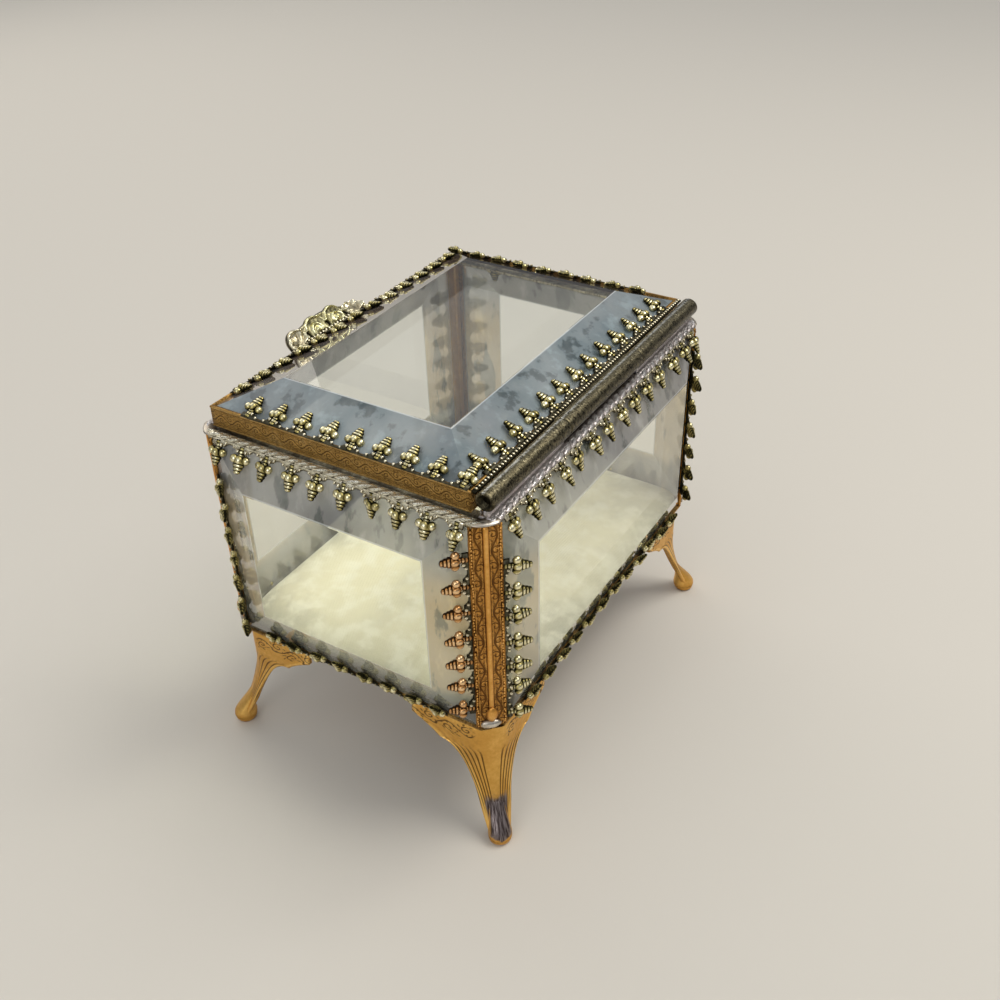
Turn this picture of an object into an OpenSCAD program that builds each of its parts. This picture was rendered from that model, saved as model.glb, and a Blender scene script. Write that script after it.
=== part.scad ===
/* [Case] */
// Length of the case over its side glass edges, along the hinge
case_l = 89; // [70:1:130]
// Width of the case, front to back
case_w = 65; // [55:1:100]
// Height of the side glass between the top and bottom bands
glass_h = 47; // [36:1:70]
// Height of the feet, from the table to the bottom band
foot_h = 27.4; // [22:0.2:36]
// Leg of the 45 degree cut across each upright corner
corner_cut = 4.2; // [4:0.1:6]

/* [Metal strip] */
// Thickness of the stamped strip
strip_t = 0.6; // [0.4:0.05:0.8]
// Width of the flat bands round the top and bottom of the case
band_w = 4.4; // [4:0.1:6]
// Radius of the half-round bead down the middle of a corner post
bead_r = 0.75; // [0.5:0.05:1]
// Reach of a finger from its fold line to its tip
finger_reach = 5.2; // [4.4:0.1:6]
// Distance between neighbouring fingers
finger_pitch = 5.85; // [5:0.05:8]
// Angle at which the top bands' fingers fall away from the horizontal
top_fall = 60; // [45:1:70]
// Angle at which the bottom bands' fingers rise from the horizontal
bottom_rise = 45; // [35:1:60]
// Height of the scalloped skirt that carries the fingers
skirt_h = 1.2; // [0.8:0.1:1.6]
// Width of a finger's stem
stem_w = 1.3; // [1:0.1:1.6]
// Radius of the two side balls of a finger
ball_r = 0.75; // [0.5:0.05:0.8]

/* [Glass] */
// Thickness of the side glass at its edge
glass_edge = 1.7; // [1.2:0.1:1.7]
// Width of the bevel round the side glass
bevel_w = 8.7; // [6:0.1:12]
// Height that the side glass rises over its bevel
bevel_rise = 3; // [1:0.1:4]
// Thickness of the lid glass at its edge
lid_glass_edge = 1.9; // [1.4:0.1:2.2]
// Width of the bevel round the lid glass
lid_bevel_w = 9.7; // [7:0.1:14]
// Height that the lid glass rises over its bevel
lid_bevel_rise = 4.2; // [2:0.1:5]

/* [Lid] */
// Distance of the lid's faces inside the case's faces, at the ends and the front
lid_inset = 2.5; // [2.2:0.1:3.4]
// Height of the lid's band
lid_band_h = 4.4; // [3.8:0.1:6]
// Gap between the closed lid and the top band
lid_gap = 0.4; // [0.3:0.05:0.8]
// Length of the thumb tab
tab_l = 24.5; // [18:0.5:28]
// Reach of the thumb tab above the lid's band
tab_reach = 4.7; // [4.2:0.1:6.4]
// Distance of the thumb tab from the middle of the front
tab_offset = 5; // [-8:0.5:8]
// Angle of the thumb tab's crest from the horizontal
tab_lean = 45; // [40:1:70]

/* [Hinge] */
// Radius of the hinge tube
tube_r = 2.2; // [1.8:0.1:2.4]
// Radius of the hinge pin
pin_r = 1.1; // [0.8:0.1:1.3]
// Length of the knuckle that turns with the lid
lid_knuckle_l = 30; // [20:1:40]
// Height of the hinge axis above the lid's lower edge
axis_rise = 3.2; // [2.8:0.1:3.6]

/* [Feet] */
// Thickness of the stamped foot
foot_t = 1; // [0.8:0.1:1.2]
// Reach of a foot's wing along the case, from the corner post's edge
wing_l = 15; // [12:0.5:20]
// Distance of a toe's middle out past the face of the corner
splay = 4.4; // [2:0.1:6]
// Radius of the toe
toe_r = 2.6; // [2.2:0.1:3]

/* [Inside] */
// Thickness of the bottom plate
plate_t = 0.8; // [0.5:0.1:1.2]
// Thickness of the pad at its crown
pad_h = 4.6; // [3:0.1:8]
// Radius of the pad's upright corners
pad_corner = 2.4; // [1:0.1:4]

/* [Hidden] */
$fn = 48;

// Clearances: between fitted pieces, round the pin and between knuckles
fit_gap = 0.05;
pin_gap = 0.05;
knuckle_gap = 0.15;
pad_gap = 0.4;

// Half sizes of the case at the fold line of its bands
half_l = case_l / 2;
half_w = case_w / 2;

// Levels from the table up
glass_z = foot_h + strip_t;
glass_top = glass_z + glass_h;
case_top = glass_top + strip_t;
lid_z = case_top + lid_gap;
lid_band_top = lid_z + lid_band_h;
plate_top = glass_z + plate_t;

// The side glass stands far enough inside the fold line to clear the flared skirts
glass_back_off = strip_t * tan(max(top_fall, bottom_rise) / 2) + fit_gap;
// Width of a corner post's web, and its edges' distance from the next one along a side
web_w = corner_cut * sqrt(2);
side_l = case_l - 2 * corner_cut;
side_w = case_w - 2 * corner_cut;
// The bands' corners cover the top and the foot of each post
band_cut = corner_cut - strip_t * sqrt(2);

// Fingers: least distance of the first and last one from the ends of each strip.
// On the lid's short sides they start close to one corner and keep clear of the other.
// A post's strips start above the bottom band, one of them lifted by post_lift.
top_start = 1.9;
bottom_start = 7.2;
lid_start = 6.9;
lid_short_start = 1.9;
lid_short_end = 7.3;
post_start = 2.6;
post_end = 6.4;
post_lift = 2.8;
ball_x = 0.95;
ball_v = 0.52 * finger_reach;
boss_r = 0.8;
boss_v = ball_v + 0.35;
cone_w = 1.9;
cone_end_w = 0.7;
cone_v = ball_v + 0.45;
scallop_r = 1.55;

// Hinge axis and the lid's plan, which follows from it
axis_y = half_w - tube_r;
axis_z = lid_z + axis_rise;
leaf_t = 0.5;
leaf_foot = 2.6;
root_h = 2;
lid_back = axis_y - tube_r - leaf_t;
lid_front = half_w - lid_inset;
lid_l = case_l - 2 * lid_inset;
lid_w = lid_front + lid_back;
lid_y = (lid_back - lid_front) / 2;
pin_end = 1.2;

// The lid's fingers lie on the bevel, which starts under the folded skirt
lid_slope = atan(lid_bevel_rise / lid_bevel_w);
lid_glass_out = strip_t + fit_gap;
lid_glass_top = lid_band_top - strip_t / cos(lid_slope) + lid_glass_out * tan(lid_slope) - fit_gap;
lid_glass_z = lid_glass_top - lid_glass_edge;
hem_w = 0.9;

// The foot's outline, up from the table
wing_tip_h = 3.2;
wing_notch_drop = 7;
wing_notch_z = foot_h - wing_notch_drop;
wing_notch_s = 0.6 * wing_l;
ankle_min = 0.6;
ankle_s = 1;
ankle_z = 7.5;
leg_taper = 1.5;
splay_z = 18;
wing_in = 0.5;
foot_steps = 6;
toe_flat = 1.7;
toe_h = 4.2;
toe_round = 0.3;
toe_back = wing_in + foot_t / 2;

pad_edge_r = 1.5;

// The thumb tab's sheet, its foot on the band and how deep its crest starts in that foot.
// Lobes of the crest: place along it in steps, top as a share of its reach, radius in steps
tab_t = 0.9;
tab_foot_h = 2.4;
tab_sink = 0.3;
tab_lobes = [[0.5, 1, 0.54], [1.5, 0.88, 0.47]];
tab_step = tab_l / 2 / (tab_lobes[1][0] + tab_lobes[1][2]);
tab_hole_r = 0.12 * tab_step;
tab_hole_v = 0.28 * tab_reach;

// One finger, pointing along +Y from its fold line: stem, two balls, boss and cone
module finger() {
  translate([-stem_w / 2, 0]) square([stem_w, boss_v]);
  translate([0, boss_v]) circle(boss_r);
  for (side = [-1, 1]) translate([side * ball_x, ball_v]) circle(ball_r);
  polygon([
    [-cone_w / 2, cone_v], [cone_w / 2, cone_v],
    [cone_end_w / 2, finger_reach], [-cone_end_w / 2, finger_reach]
  ]);
}

// Flat strip edge along X with its fold line at Y = 0: as many fingers as fit between the two
// clear ends, on a scalloped skirt. Alike ends share what is left over.
module fringe(length, start, end) {
  gaps = max(1, floor((length - start - end) / finger_pitch + 0.01));
  spare = length - start - end - gaps * finger_pitch;
  first = -length / 2 + start + (start == end ? spare / 2 : 0);
  linear_extrude(strip_t) {
    for (i = [0 : gaps]) translate([first + i * finger_pitch, 0]) finger();
    difference() {
      translate([first - stem_w, 0]) square([gaps * finger_pitch + 2 * stem_w, skirt_h]);
      for (i = [0 : gaps - 1])
        translate([first + (i + 0.5) * finger_pitch, skirt_h + 0.45 * scallop_r]) circle(scallop_r);
    }
  }
}

// Turns a piece made for the back (+Y) side onto each of the four sides
module to_side(side) {
  angle = side == "back" ? 0 : side == "front" ? 180 : side == "left" ? 90 : -90;
  rotate([0, 0, angle]) children();
}

// Half the length of a side and its distance from the middle, for a rectangle l by w
function side_half(side, l, w) = side == "back" || side == "front" ? l / 2 : w / 2;
function side_out(side, l, w) = side == "back" || side == "front" ? w / 2 : l / 2;

// Puts a piece made on a corner's diagonal (+Y outwards) at the middle of that corner cut
module to_corner(sx, sy) {
  translate([sx * (half_l - corner_cut / 2), sy * (half_w - corner_cut / 2), 0])
    rotate([0, 0, atan2(sy, sx) - 90]) children();
}

// Bevelled glass lying in XY with its inner face at -edge and its edges mitred inwards
module bevelled_glass(l, w, edge, bevel, rise, mitre_l, mitre_w) {
  module section(half, mitre) {
    polygon([
      [-half - mitre, -edge], [half + mitre, -edge], [half, 0],
      [half - bevel, rise], [-half + bevel, rise], [-half, 0]
    ]);
  }
  intersection() {
    translate([0, w, 0]) rotate([90, 0, 0]) linear_extrude(2 * w) section(l / 2, mitre_l);
    translate([-l, 0, 0]) rotate([90, 0, 90]) linear_extrude(2 * l) section(w / 2, mitre_w);
  }
}

// One side panel: its upright edges are mitred to lie flat on the posts' backs
module side_glass(side) {
  half = side_half(side, side_l, side_w) + glass_back_off;
  out = side_out(side, case_l, case_w) - glass_back_off;
  color("lightcyan", 0.5) to_side(side)
    translate([0, out, glass_z + glass_h / 2]) rotate([90, 0, 180])
      bevelled_glass(2 * half, glass_h, glass_edge, bevel_w, bevel_rise, glass_edge, 0);
}

// Flat band with its flared fringe, mitred to its neighbours, its fold line at Z = 0
module flat_band(side, start, fold) {
  half = side_half(side, case_l, case_w);
  out = side_out(side, case_l, case_w);
  to_side(side) {
    translate([0, out, -strip_t]) linear_extrude(strip_t) polygon([
      [-half + band_cut, 0], [half - band_cut, 0],
      [half - band_cut / 2, -band_cut / 2], [half - band_w, -band_w],
      [-half + band_w, -band_w], [-half + band_cut / 2, -band_cut / 2]
    ]);
    translate([0, out, 0]) rotate([-fold, 0, 0]) translate([0, 0, -strip_t])
      fringe(2 * (half - corner_cut), start, start);
  }
}

module top_band(side) {
  color("darkkhaki") translate([0, 0, case_top]) flat_band(side, top_start, top_fall);
}

module bottom_band(side) {
  color("darkkhaki") translate([0, 0, foot_h]) mirror([0, 0, 1]) flat_band(side, bottom_start, bottom_rise);
}

// Corner post: flat web across the corner, half-round bead, and a fringe on both edges,
// one of which stands higher than the other
module post(sx, sy) {
  color("goldenrod") to_corner(sx, sy) translate([0, 0, glass_z]) {
    translate([-web_w / 2, 0, 0]) cube([web_w, strip_t, glass_h]);
    intersection() {
      translate([0, strip_t, 0]) cylinder(r = bead_r, h = glass_h);
      translate([-web_w / 2, 0, 0]) cube([web_w, 2 * bead_r + strip_t, glass_h]);
    }
    for (m = [0, 1]) mirror([m, 0, 0])
      translate([web_w / 2, 0, glass_h / 2]) rotate([-90, -90, 0])
        fringe(glass_h, post_start + (1 - m) * post_lift, post_end + m * post_lift);
  }
}

// Share of the way that z has gone from z0 to z1
function part_way(z, z0, z1) = min(1, max(0, (z - z0) / (z1 - z0)));

// Reach of a foot's wing past the web's edge at height z: a taper up the ankle, a quarter
// of an ellipse up to the notch, and a rising lower edge from there to the wing's tip
function wing_reach(z) =
  z < ankle_z ? ankle_min + (ankle_s - ankle_min) * pow(z / ankle_z, 1.5)
  : z < wing_notch_z
    ? ankle_s + (wing_notch_s - ankle_s) * (1 - sqrt(1 - pow(part_way(z, ankle_z, wing_notch_z), 2)))
  : wing_notch_s + (wing_l - wing_notch_s) * pow(part_way(z, wing_notch_z, foot_h - wing_tip_h), 1.3);

// How far the leg has swung out along the corner's diagonal at height z
function leg_out(z) =
  z >= splay_z ? 0 : (splay + toe_back) * pow((splay_z - z) / (splay_z - toe_h / 2), 1.6);

// Half width of the leg's front at height z
function leg_half(z) = web_w / 2 - leg_taper * pow(max(0, 1 - z / splay_z), 2);

// One level of the stamped foot: round the outside and back along the inside, 12 points.
// The wings fold back 45 degrees from the front, along the sides of the case.
function foot_ring(z) =
  let (
    h = leg_half(z), s = wing_reach(z), o = leg_out(z) - wing_in, k = 1 / sqrt(2),
    outer = [[h + s * k, o - s * k], [h + s * k / 2, o - s * k / 2], [h, o], [h / 3, o + 0.25]],
    n = [foot_t * k, foot_t * k],
    inner = [[h + s * k - n[0], o - s * k - n[1]], [h - foot_t * 0.41, o - foot_t]]
  )
  concat(
    [for (p = outer) [p[0], p[1], z]],
    [for (i = [3 : -1 : 0]) [-outer[i][0], outer[i][1], z]],
    [for (p = inner) [-p[0], p[1], z]],
    [for (i = [1 : -1 : 0]) [inner[i][0], inner[i][1], z]]
  );

// Stamped cabriole foot round the corner, hollow behind, on a rounded toe with a flat base
module foot(sx, sy) {
  levels = concat(
    [for (i = [0 : foot_steps - 1]) toe_h / 2 + (ankle_z - toe_h / 2) * i / foot_steps],
    [for (i = [0 : foot_steps]) ankle_z + (wing_notch_z - ankle_z) * sin(90 * i / foot_steps)],
    [for (i = [1 : foot_steps]) wing_notch_z + (foot_h - wing_tip_h - wing_notch_z) * i / foot_steps],
    [foot_h]
  );
  rings = [for (z = levels) foot_ring(z)];
  n = len(rings[0]);
  last = len(rings) - 1;
  points = [for (r = rings) each r];
  sides = [
    for (i = [0 : last - 1]) for (j = [0 : n - 1])
      let (a = i * n + j, b = i * n + (j + 1) % n) each [[a, b + n, b], [a, a + n, b + n]]
  ];
  ends = [
    [0, 1, 10, 11], [1, 2, 10], [2, 3, 10], [3, 4, 9, 10], [4, 5, 9], [5, 6, 9], [6, 7, 8, 9]
  ];
  top_end = [for (e = ends) [for (i = [len(e) - 1 : -1 : 0]) last * n + e[i]]];
  color("darkgoldenrod") to_corner(sx, sy) {
    polyhedron(points, concat(ends, sides, top_end));
    translate([0, splay, 0]) rotate_extrude() polygon([
      [0, 0], [toe_flat, 0], [toe_r - toe_round, 2 * toe_round], [toe_r, 5 * toe_round],
      [toe_r - toe_round, toe_h - 5 * toe_round], [toe_flat, toe_h - 2 * toe_round], [0, toe_h]
    ]);
  }
}

// Bottom plate on the inner margins of the bottom bands
module bottom_plate() {
  l = case_l - 2 * (glass_back_off + glass_edge + fit_gap);
  w = case_w - 2 * (glass_back_off + glass_edge + fit_gap);
  cut = corner_cut - 2 * (glass_back_off + glass_edge + fit_gap) + 2 * fit_gap;
  color("peru") translate([0, 0, glass_z]) linear_extrude(plate_t) difference() {
    square([l, w], center = true);
    for (sx = [-1, 1]) for (sy = [-1, 1]) translate([sx * l / 2, sy * w / 2])
      rotate([0, 0, 45]) square(max(0.1, cut) * sqrt(2), center = true);
  }
}

// Plain closed solid of the silk pad, with a chamfer round its crown
module cushion_pad() {
  l = case_l - 2 * (glass_back_off + glass_edge + pad_gap);
  w = case_w - 2 * (glass_back_off + glass_edge + pad_gap);
  module slab(inset, z, h) {
    translate([0, 0, z]) linear_extrude(h) {
      square([l - 2 * (inset + pad_corner), w - 2 * inset], center = true);
      square([l - 2 * inset, w - 2 * (inset + pad_corner)], center = true);
      for (sx = [-1, 1]) for (sy = [-1, 1])
        translate([sx * (l / 2 - inset - pad_corner), sy * (w / 2 - inset - pad_corner)]) circle(pad_corner);
    }
  }
  color("cornsilk") union() {
    slab(0, plate_top, pad_h - pad_edge_r);
    slab(pad_edge_r, plate_top, pad_h);
  }
}

// Lid glass, lying in the four lid bands on their hems
module lid_glass() {
  l = lid_l - 2 * lid_glass_out;
  w = lid_w - 2 * lid_glass_out;
  color("lightcyan", 0.5) translate([0, lid_y, lid_glass_top])
    bevelled_glass(l, w, lid_glass_edge, lid_bevel_w, lid_bevel_rise, 0, 0);
}

// One side of the lid's frame: upright band, hem under the glass, fringe over the bevel
module lid_band(side) {
  half = side_half(side, lid_l, lid_w);
  out = side_out(side, lid_l, lid_w);
  depth = strip_t + hem_w;
  color("goldenrod") translate([0, lid_y, 0]) to_side(side) {
    intersection() {
      translate([0, out, lid_z - 1]) linear_extrude(lid_band_h + 2) polygon([
        [-half, 0], [half, 0], [half - depth, -depth], [-half + depth, -depth]
      ]);
      translate([-half, out, lid_z]) rotate([90, 0, 90]) linear_extrude(2 * half) polygon([
        [0, 0], [0, lid_band_h], [-strip_t, lid_band_h], [-strip_t, lid_glass_z - lid_z],
        [-depth, lid_glass_z - lid_z], [-depth, lid_glass_z - lid_z - strip_t],
        [-strip_t, lid_glass_z - lid_z - strip_t], [-strip_t, 0]
      ]);
    }
    long = side == "back" || side == "front";
    translate([0, out, lid_band_top]) rotate([180 - lid_slope, 0, 0])
      fringe(2 * half, long ? lid_start : lid_short_start, long ? lid_start : lid_short_end);
  }
}

// Tube of one knuckle along X, from x0 to x1
module knuckle(x0, x1) {
  translate([x0, axis_y, axis_z]) rotate([0, 90, 0]) cylinder(r = tube_r, h = x1 - x0);
}

// Bore for the pin through a knuckle
module pin_bore(x0, x1) {
  translate([x0 - 1, axis_y, axis_z]) rotate([0, 90, 0]) cylinder(r = pin_r + pin_gap, h = x1 - x0 + 2);
}

// Outer knuckle with its upright leaf and foot, which stand on the back top band
module case_knuckle(x0, x1) {
  color("darkolivegreen") difference() {
    union() {
      knuckle(x0, x1);
      translate([x0, axis_y - strip_t / 2, case_top]) cube([x1 - x0, strip_t, axis_z - case_top]);
      translate([x0, axis_y - leaf_foot / 2, case_top]) cube([x1 - x0, leaf_foot, strip_t]);
    }
    pin_bore(x0, x1);
  }
}

module hinge_knuckle_left() {
  case_knuckle(-lid_l / 2, -lid_knuckle_l / 2 - knuckle_gap);
}

module hinge_knuckle_right() {
  case_knuckle(lid_knuckle_l / 2 + knuckle_gap, lid_l / 2);
}

// Middle knuckle with its leaf, which lies on the lid's back band
module lid_knuckle() {
  x0 = -lid_knuckle_l / 2;
  x1 = lid_knuckle_l / 2;
  color("darkolivegreen") difference() {
    union() {
      knuckle(x0, x1);
      translate([x0, lid_back, lid_z]) cube([x1 - x0, leaf_t, lid_band_h]);
      translate([x0, lid_back, axis_z - root_h / 2]) cube([x1 - x0, tube_r, root_h]);
    }
    pin_bore(x0, x1);
  }
}

module hinge_pin() {
  color("dimgray") translate([-lid_l / 2 + pin_end, axis_y, axis_z]) rotate([0, 90, 0])
    cylinder(r = pin_r, h = lid_l - 2 * pin_end);
}

// Pierced scroll tab: a foot on the lid's front band and a crest that leans out from it
module thumb_tab() {
  foot_l = 0.66 * tab_l;
  // Height of a lobe's middle in the crest
  function lobe_v(lobe) = lobe[1] * tab_reach - lobe[2] * tab_step;
  color("darkkhaki") translate([tab_offset, -lid_front, lid_band_top]) {
    translate([-foot_l / 2, -tab_t, -tab_foot_h]) cube([foot_l, tab_t, tab_foot_h - tab_sink / 3]);
    translate([0, -tab_sink / 6, -tab_sink]) rotate([180 - tab_lean, 0, 0]) linear_extrude(tab_t)
      difference() {
        intersection() {
          for (lobe = tab_lobes) for (side = [-1, 1])
            translate([side * lobe[0] * tab_step, lobe_v(lobe)]) circle(lobe[2] * tab_step);
          translate([-tab_l / 2, 0]) square([tab_l, tab_reach]);
        }
        for (i = [-1 : 1]) translate([i * tab_step, tab_hole_v]) circle(tab_hole_r);
      }
  }
}

bottom_plate();
cushion_pad();
for (side = ["front", "back", "left", "right"]) {
  side_glass(side);
  top_band(side);
  bottom_band(side);
  lid_band(side);
}
for (sy = [-1, 1]) for (sx = [-1, 1]) {
  corner = str(sy < 0 ? "front" : "back", "_", sx < 0 ? "left" : "right");
  post(sx, sy);
  foot(sx, sy);
}
lid_glass();
hinge_knuckle_left();
hinge_knuckle_right();
lid_knuckle();
hinge_pin();
thumb_tab();
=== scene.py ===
import bpy
import math
import numpy as np
from mathutils import Matrix, Vector


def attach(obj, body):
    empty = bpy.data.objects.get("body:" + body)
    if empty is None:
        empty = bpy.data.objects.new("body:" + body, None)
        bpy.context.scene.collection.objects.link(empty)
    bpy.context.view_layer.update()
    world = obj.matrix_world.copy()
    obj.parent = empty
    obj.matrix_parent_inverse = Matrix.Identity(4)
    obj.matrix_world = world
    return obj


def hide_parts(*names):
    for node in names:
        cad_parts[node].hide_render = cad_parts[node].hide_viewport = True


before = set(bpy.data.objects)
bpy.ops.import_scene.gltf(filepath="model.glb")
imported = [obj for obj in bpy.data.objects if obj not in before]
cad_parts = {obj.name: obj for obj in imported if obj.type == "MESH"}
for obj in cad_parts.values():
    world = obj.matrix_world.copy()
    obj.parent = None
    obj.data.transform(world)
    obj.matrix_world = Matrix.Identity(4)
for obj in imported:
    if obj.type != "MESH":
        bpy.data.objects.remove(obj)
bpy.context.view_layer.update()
print("frame loaded")

mm = 0.001
sides = ["back", "front", "left", "right"]
corners = [("front_left", -1, -1), ("front_right", 1, -1), ("back_left", -1, 1), ("back_right", 1, 1)]

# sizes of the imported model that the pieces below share, in mm
case = {
    "halfLong": 44.5, "halfShort": 32.5, "cornerCut": 4.2, "stripThick": 0.6,
    "glassFoot": 28.0, "glassTop": 75.0, "caseTop": 75.6, "footTop": 27.4,
    "lidFoot": 76.0, "lidBandHigh": 4.4, "lidHalfLong": 42.0, "lidFront": -30.0, "lidBack": 27.6,
    "lidSlope": math.degrees(math.atan(4.2 / 9.7)), "axisY": 30.3, "axisZ": 79.2,
}


def newParts():
    return {"points": [], "loops": [], "sizes": [], "uv": [], "tone": [], "slot": [], "count": 0}


def addGrid(parts, grid, uv=None, tone=1.0, slot=0, wrapU=False, wrapV=False, capU=False):
    # grid[..., i, j, :] holds the points of one or many surfaces P(u_i, v_j), in mm. Quads join
    # (i, j), (i+1, j), (i+1, j+1), (i, j+1). wrapU and wrapV close a direction, and capU adds an
    # end face on the first and last ring in u. slot is one number, or one for each column j.
    # A closed surface whose volume, sum P0 . (P1 x P2) / 6, is negative is turned inside out.
    grid = np.asarray(grid, float)
    if grid.ndim == 3:
        grid = grid[None]
    many, nu, nv = grid.shape[:3]
    uv = np.zeros((1, nu, nv, 2)) if uv is None else np.asarray(uv, float)
    uv = np.broadcast_to(uv, (many, nu, nv, 2)).reshape(many * nu * nv, 2)
    tone = np.broadcast_to(np.asarray(tone, float), (many, nu, nv)).reshape(-1)
    i = np.arange(nu if wrapU else nu - 1)
    j = np.arange(nv if wrapV else nv - 1)
    i, j = np.meshgrid(i, j, indexing="ij")
    i, j = i.ravel(), j.ravel()
    i2, j2 = (i + 1) % nu, (j + 1) % nv
    quads = np.stack([i * nv + j, i2 * nv + j, i2 * nv + j2, i * nv + j2], -1)
    ring = np.arange(nv)
    ends = np.stack([ring, (nu - 1) * nv + ring[::-1]])
    if capU or (wrapU and wrapV):
        points = grid[0].reshape(-1, 3)
        points = points - points.mean(0)
        a, b, c, d = (points[quads[:, k]] for k in range(4))
        volume = np.sum(a * np.cross(b, c)) + np.sum(a * np.cross(c, d))
        quads, ends = (quads[:, ::-1], ends[:, ::-1]) if volume < 0 else (quads, ends)
    base = parts["count"] + np.arange(many)[:, None, None] * nu * nv
    columns = j if not np.isscalar(slot) else 0 * j
    parts["loops"].append((quads[None] + base).reshape(-1))
    parts["sizes"].append(np.full(len(quads) * many, 4))
    parts["slot"].append(np.tile(np.atleast_1d(slot)[columns], many))
    if capU:
        parts["loops"].append((ends[None] + base).reshape(-1))
        parts["sizes"].append(np.full(2 * many, nv))
        parts["slot"].append(np.full(2 * many, np.atleast_1d(slot)[0]))
    parts["points"].append(grid.reshape(-1, 3))
    parts["uv"].append(uv)
    parts["tone"].append(tone)
    parts["count"] += many * nu * nv


def makePiece(name, parts, materials, body, node=None, smooth=True):
    # one object from the gathered grids, in metres, with its UV map and its "tone" attribute
    points = np.concatenate(parts["points"]) * mm
    loops = np.concatenate(parts["loops"]).astype(np.int32)
    sizes = np.concatenate(parts["sizes"]).astype(np.int32)
    mesh = bpy.data.meshes.new(name)
    mesh.vertices.add(len(points))
    mesh.vertices.foreach_set("co", points.astype(np.float32).ravel())
    mesh.loops.add(len(loops))
    mesh.loops.foreach_set("vertex_index", loops)
    mesh.polygons.add(len(sizes))
    starts = np.concatenate([[0], np.cumsum(sizes)[:-1]]).astype(np.int32)
    mesh.polygons.foreach_set("loop_start", starts)
    mesh.polygons.foreach_set("material_index", np.concatenate(parts["slot"]).astype(np.int32))
    mesh.update(calc_edges=True)
    mesh.validate()
    layer = mesh.uv_layers.new(name="UVMap")
    corner = np.zeros(len(mesh.loops), np.int32)
    mesh.loops.foreach_get("vertex_index", corner)
    layer.data.foreach_set("uv", np.concatenate(parts["uv"])[corner].astype(np.float32).ravel())
    tone = mesh.attributes.new("tone", "FLOAT", "POINT")
    tone.data.foreach_set("value", np.concatenate(parts["tone"]).astype(np.float32))
    mesh.polygons.foreach_set("use_smooth", np.full(len(mesh.polygons), smooth))
    for material in materials:
        mesh.materials.append(material)
    piece = bpy.data.objects.new(name, mesh)
    bpy.context.scene.collection.objects.link(piece)
    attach(piece, body)
    if node:
        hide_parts(*([node] if isinstance(node, str) else node))
    return piece


def addPlate(parts, lo, hi, tone=0.5, slot=0, round=0.08):
    # box with its four long edges broken, swept along X
    (x0, y0, z0), (x1, y1, z1) = lo, hi
    r = round
    y = np.array([y0 + r, y1 - r, y1, y1, y1 - r, y0 + r, y0, y0])
    z = np.array([z0, z0, z0 + r, z1 - r, z1, z1, z1 - r, z0 + r])
    x = np.linspace(x0, x1, 25)
    grid = np.stack(np.broadcast_arrays(x[:, None], y[None, :], z[None, :]), -1)
    addGrid(parts, grid, grid[..., [0, 2]], tone, slot, wrapV=True, capU=True)


def turned(points, degreesZ, shift=(0, 0, 0)):
    # (x, y) turned about Z, then moved
    a = math.radians(degreesZ)
    turn = np.array([[math.cos(a), -math.sin(a), 0], [math.sin(a), math.cos(a), 0], [0, 0, 1]])
    return points @ turn.T + np.array(shift)


def toSide(points, side):
    return turned(points, {"back": 0, "front": 180, "left": 90, "right": -90}[side])


def toCorner(points, sx, sy):
    place = (sx * (case["halfLong"] - case["cornerCut"] / 2), sy * (case["halfShort"] - case["cornerCut"] / 2), 0)
    return turned(points, math.degrees(math.atan2(sy, sx)) - 90, place)


def folded(points, angle, origin):
    # a flat piece in XY with its fold line on X is turned about X by angle, then moved to origin
    a = math.radians(angle)
    turn = np.array([[1, 0, 0], [0, math.cos(a), -math.sin(a)], [0, math.sin(a), math.cos(a)]])
    return points @ turn.T + np.array(origin)


def wobble(x, y, z, scale, seed):
    # smooth pseudo-noise in -1..1: a sum of sines along fixed skew directions
    rng = np.random.default_rng(seed)
    total = 0
    for octave in range(4):
        d = rng.normal(size=3)
        d = d / np.linalg.norm(d) * scale * 1.7 ** octave
        total = total + np.sin(x * d[0] + y * d[1] + z * d[2] + rng.uniform(0, 6.28)) * 0.62 ** octave
    return total / 2.1


def newMaterial(name):
    material = bpy.data.materials.new(name)
    material.use_nodes = True
    tree = material.node_tree
    shader = tree.nodes["Principled BSDF"]
    return material, tree, shader


def node(tree, kind, **values):
    made = tree.nodes.new(kind)
    for key, value in values.items():
        setattr(made, key, value)
    return made


def plug(tree, socket, value):
    if isinstance(value, bpy.types.NodeSocket):
        tree.links.new(value, socket)
    else:
        socket.default_value = value


def calc(tree, operation, a, b=None, c=None, clamp=False):
    made = node(tree, "ShaderNodeMath", operation=operation, use_clamp=clamp)
    for k, value in enumerate((a, b, c)):
        if value is not None:
            plug(tree, made.inputs[k], value)
    return made.outputs[0]


def ramp(tree, value, low, high):
    # 0 at low, 1 at high, smooth between them
    made = node(tree, "ShaderNodeMapRange", interpolation_type="SMOOTHSTEP")
    plug(tree, made.inputs["Value"], value)
    made.inputs["From Min"].default_value = low
    made.inputs["From Max"].default_value = high
    return made.outputs["Result"]


def blendColour(tree, share, a, b, mode="MIX"):
    made = node(tree, "ShaderNodeMix", data_type="RGBA", blend_type=mode)
    plug(tree, made.inputs[0], share)
    for socket, value in ((made.inputs[6], a), (made.inputs[7], b)):
        plug(tree, socket, value if isinstance(value, bpy.types.NodeSocket) else (*value, 1.0))
    return made.outputs[2]


def noise(tree, vector, scale, detail=4.0, roughness=0.55):
    made = node(tree, "ShaderNodeTexNoise")
    made.inputs["Scale"].default_value = scale
    made.inputs["Detail"].default_value = detail
    made.inputs["Roughness"].default_value = roughness
    plug(tree, made.inputs["Vector"], vector)
    return made.outputs["Fac"]


def objectCoords(tree):
    return node(tree, "ShaderNodeTexCoord").outputs["Object"]


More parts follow.
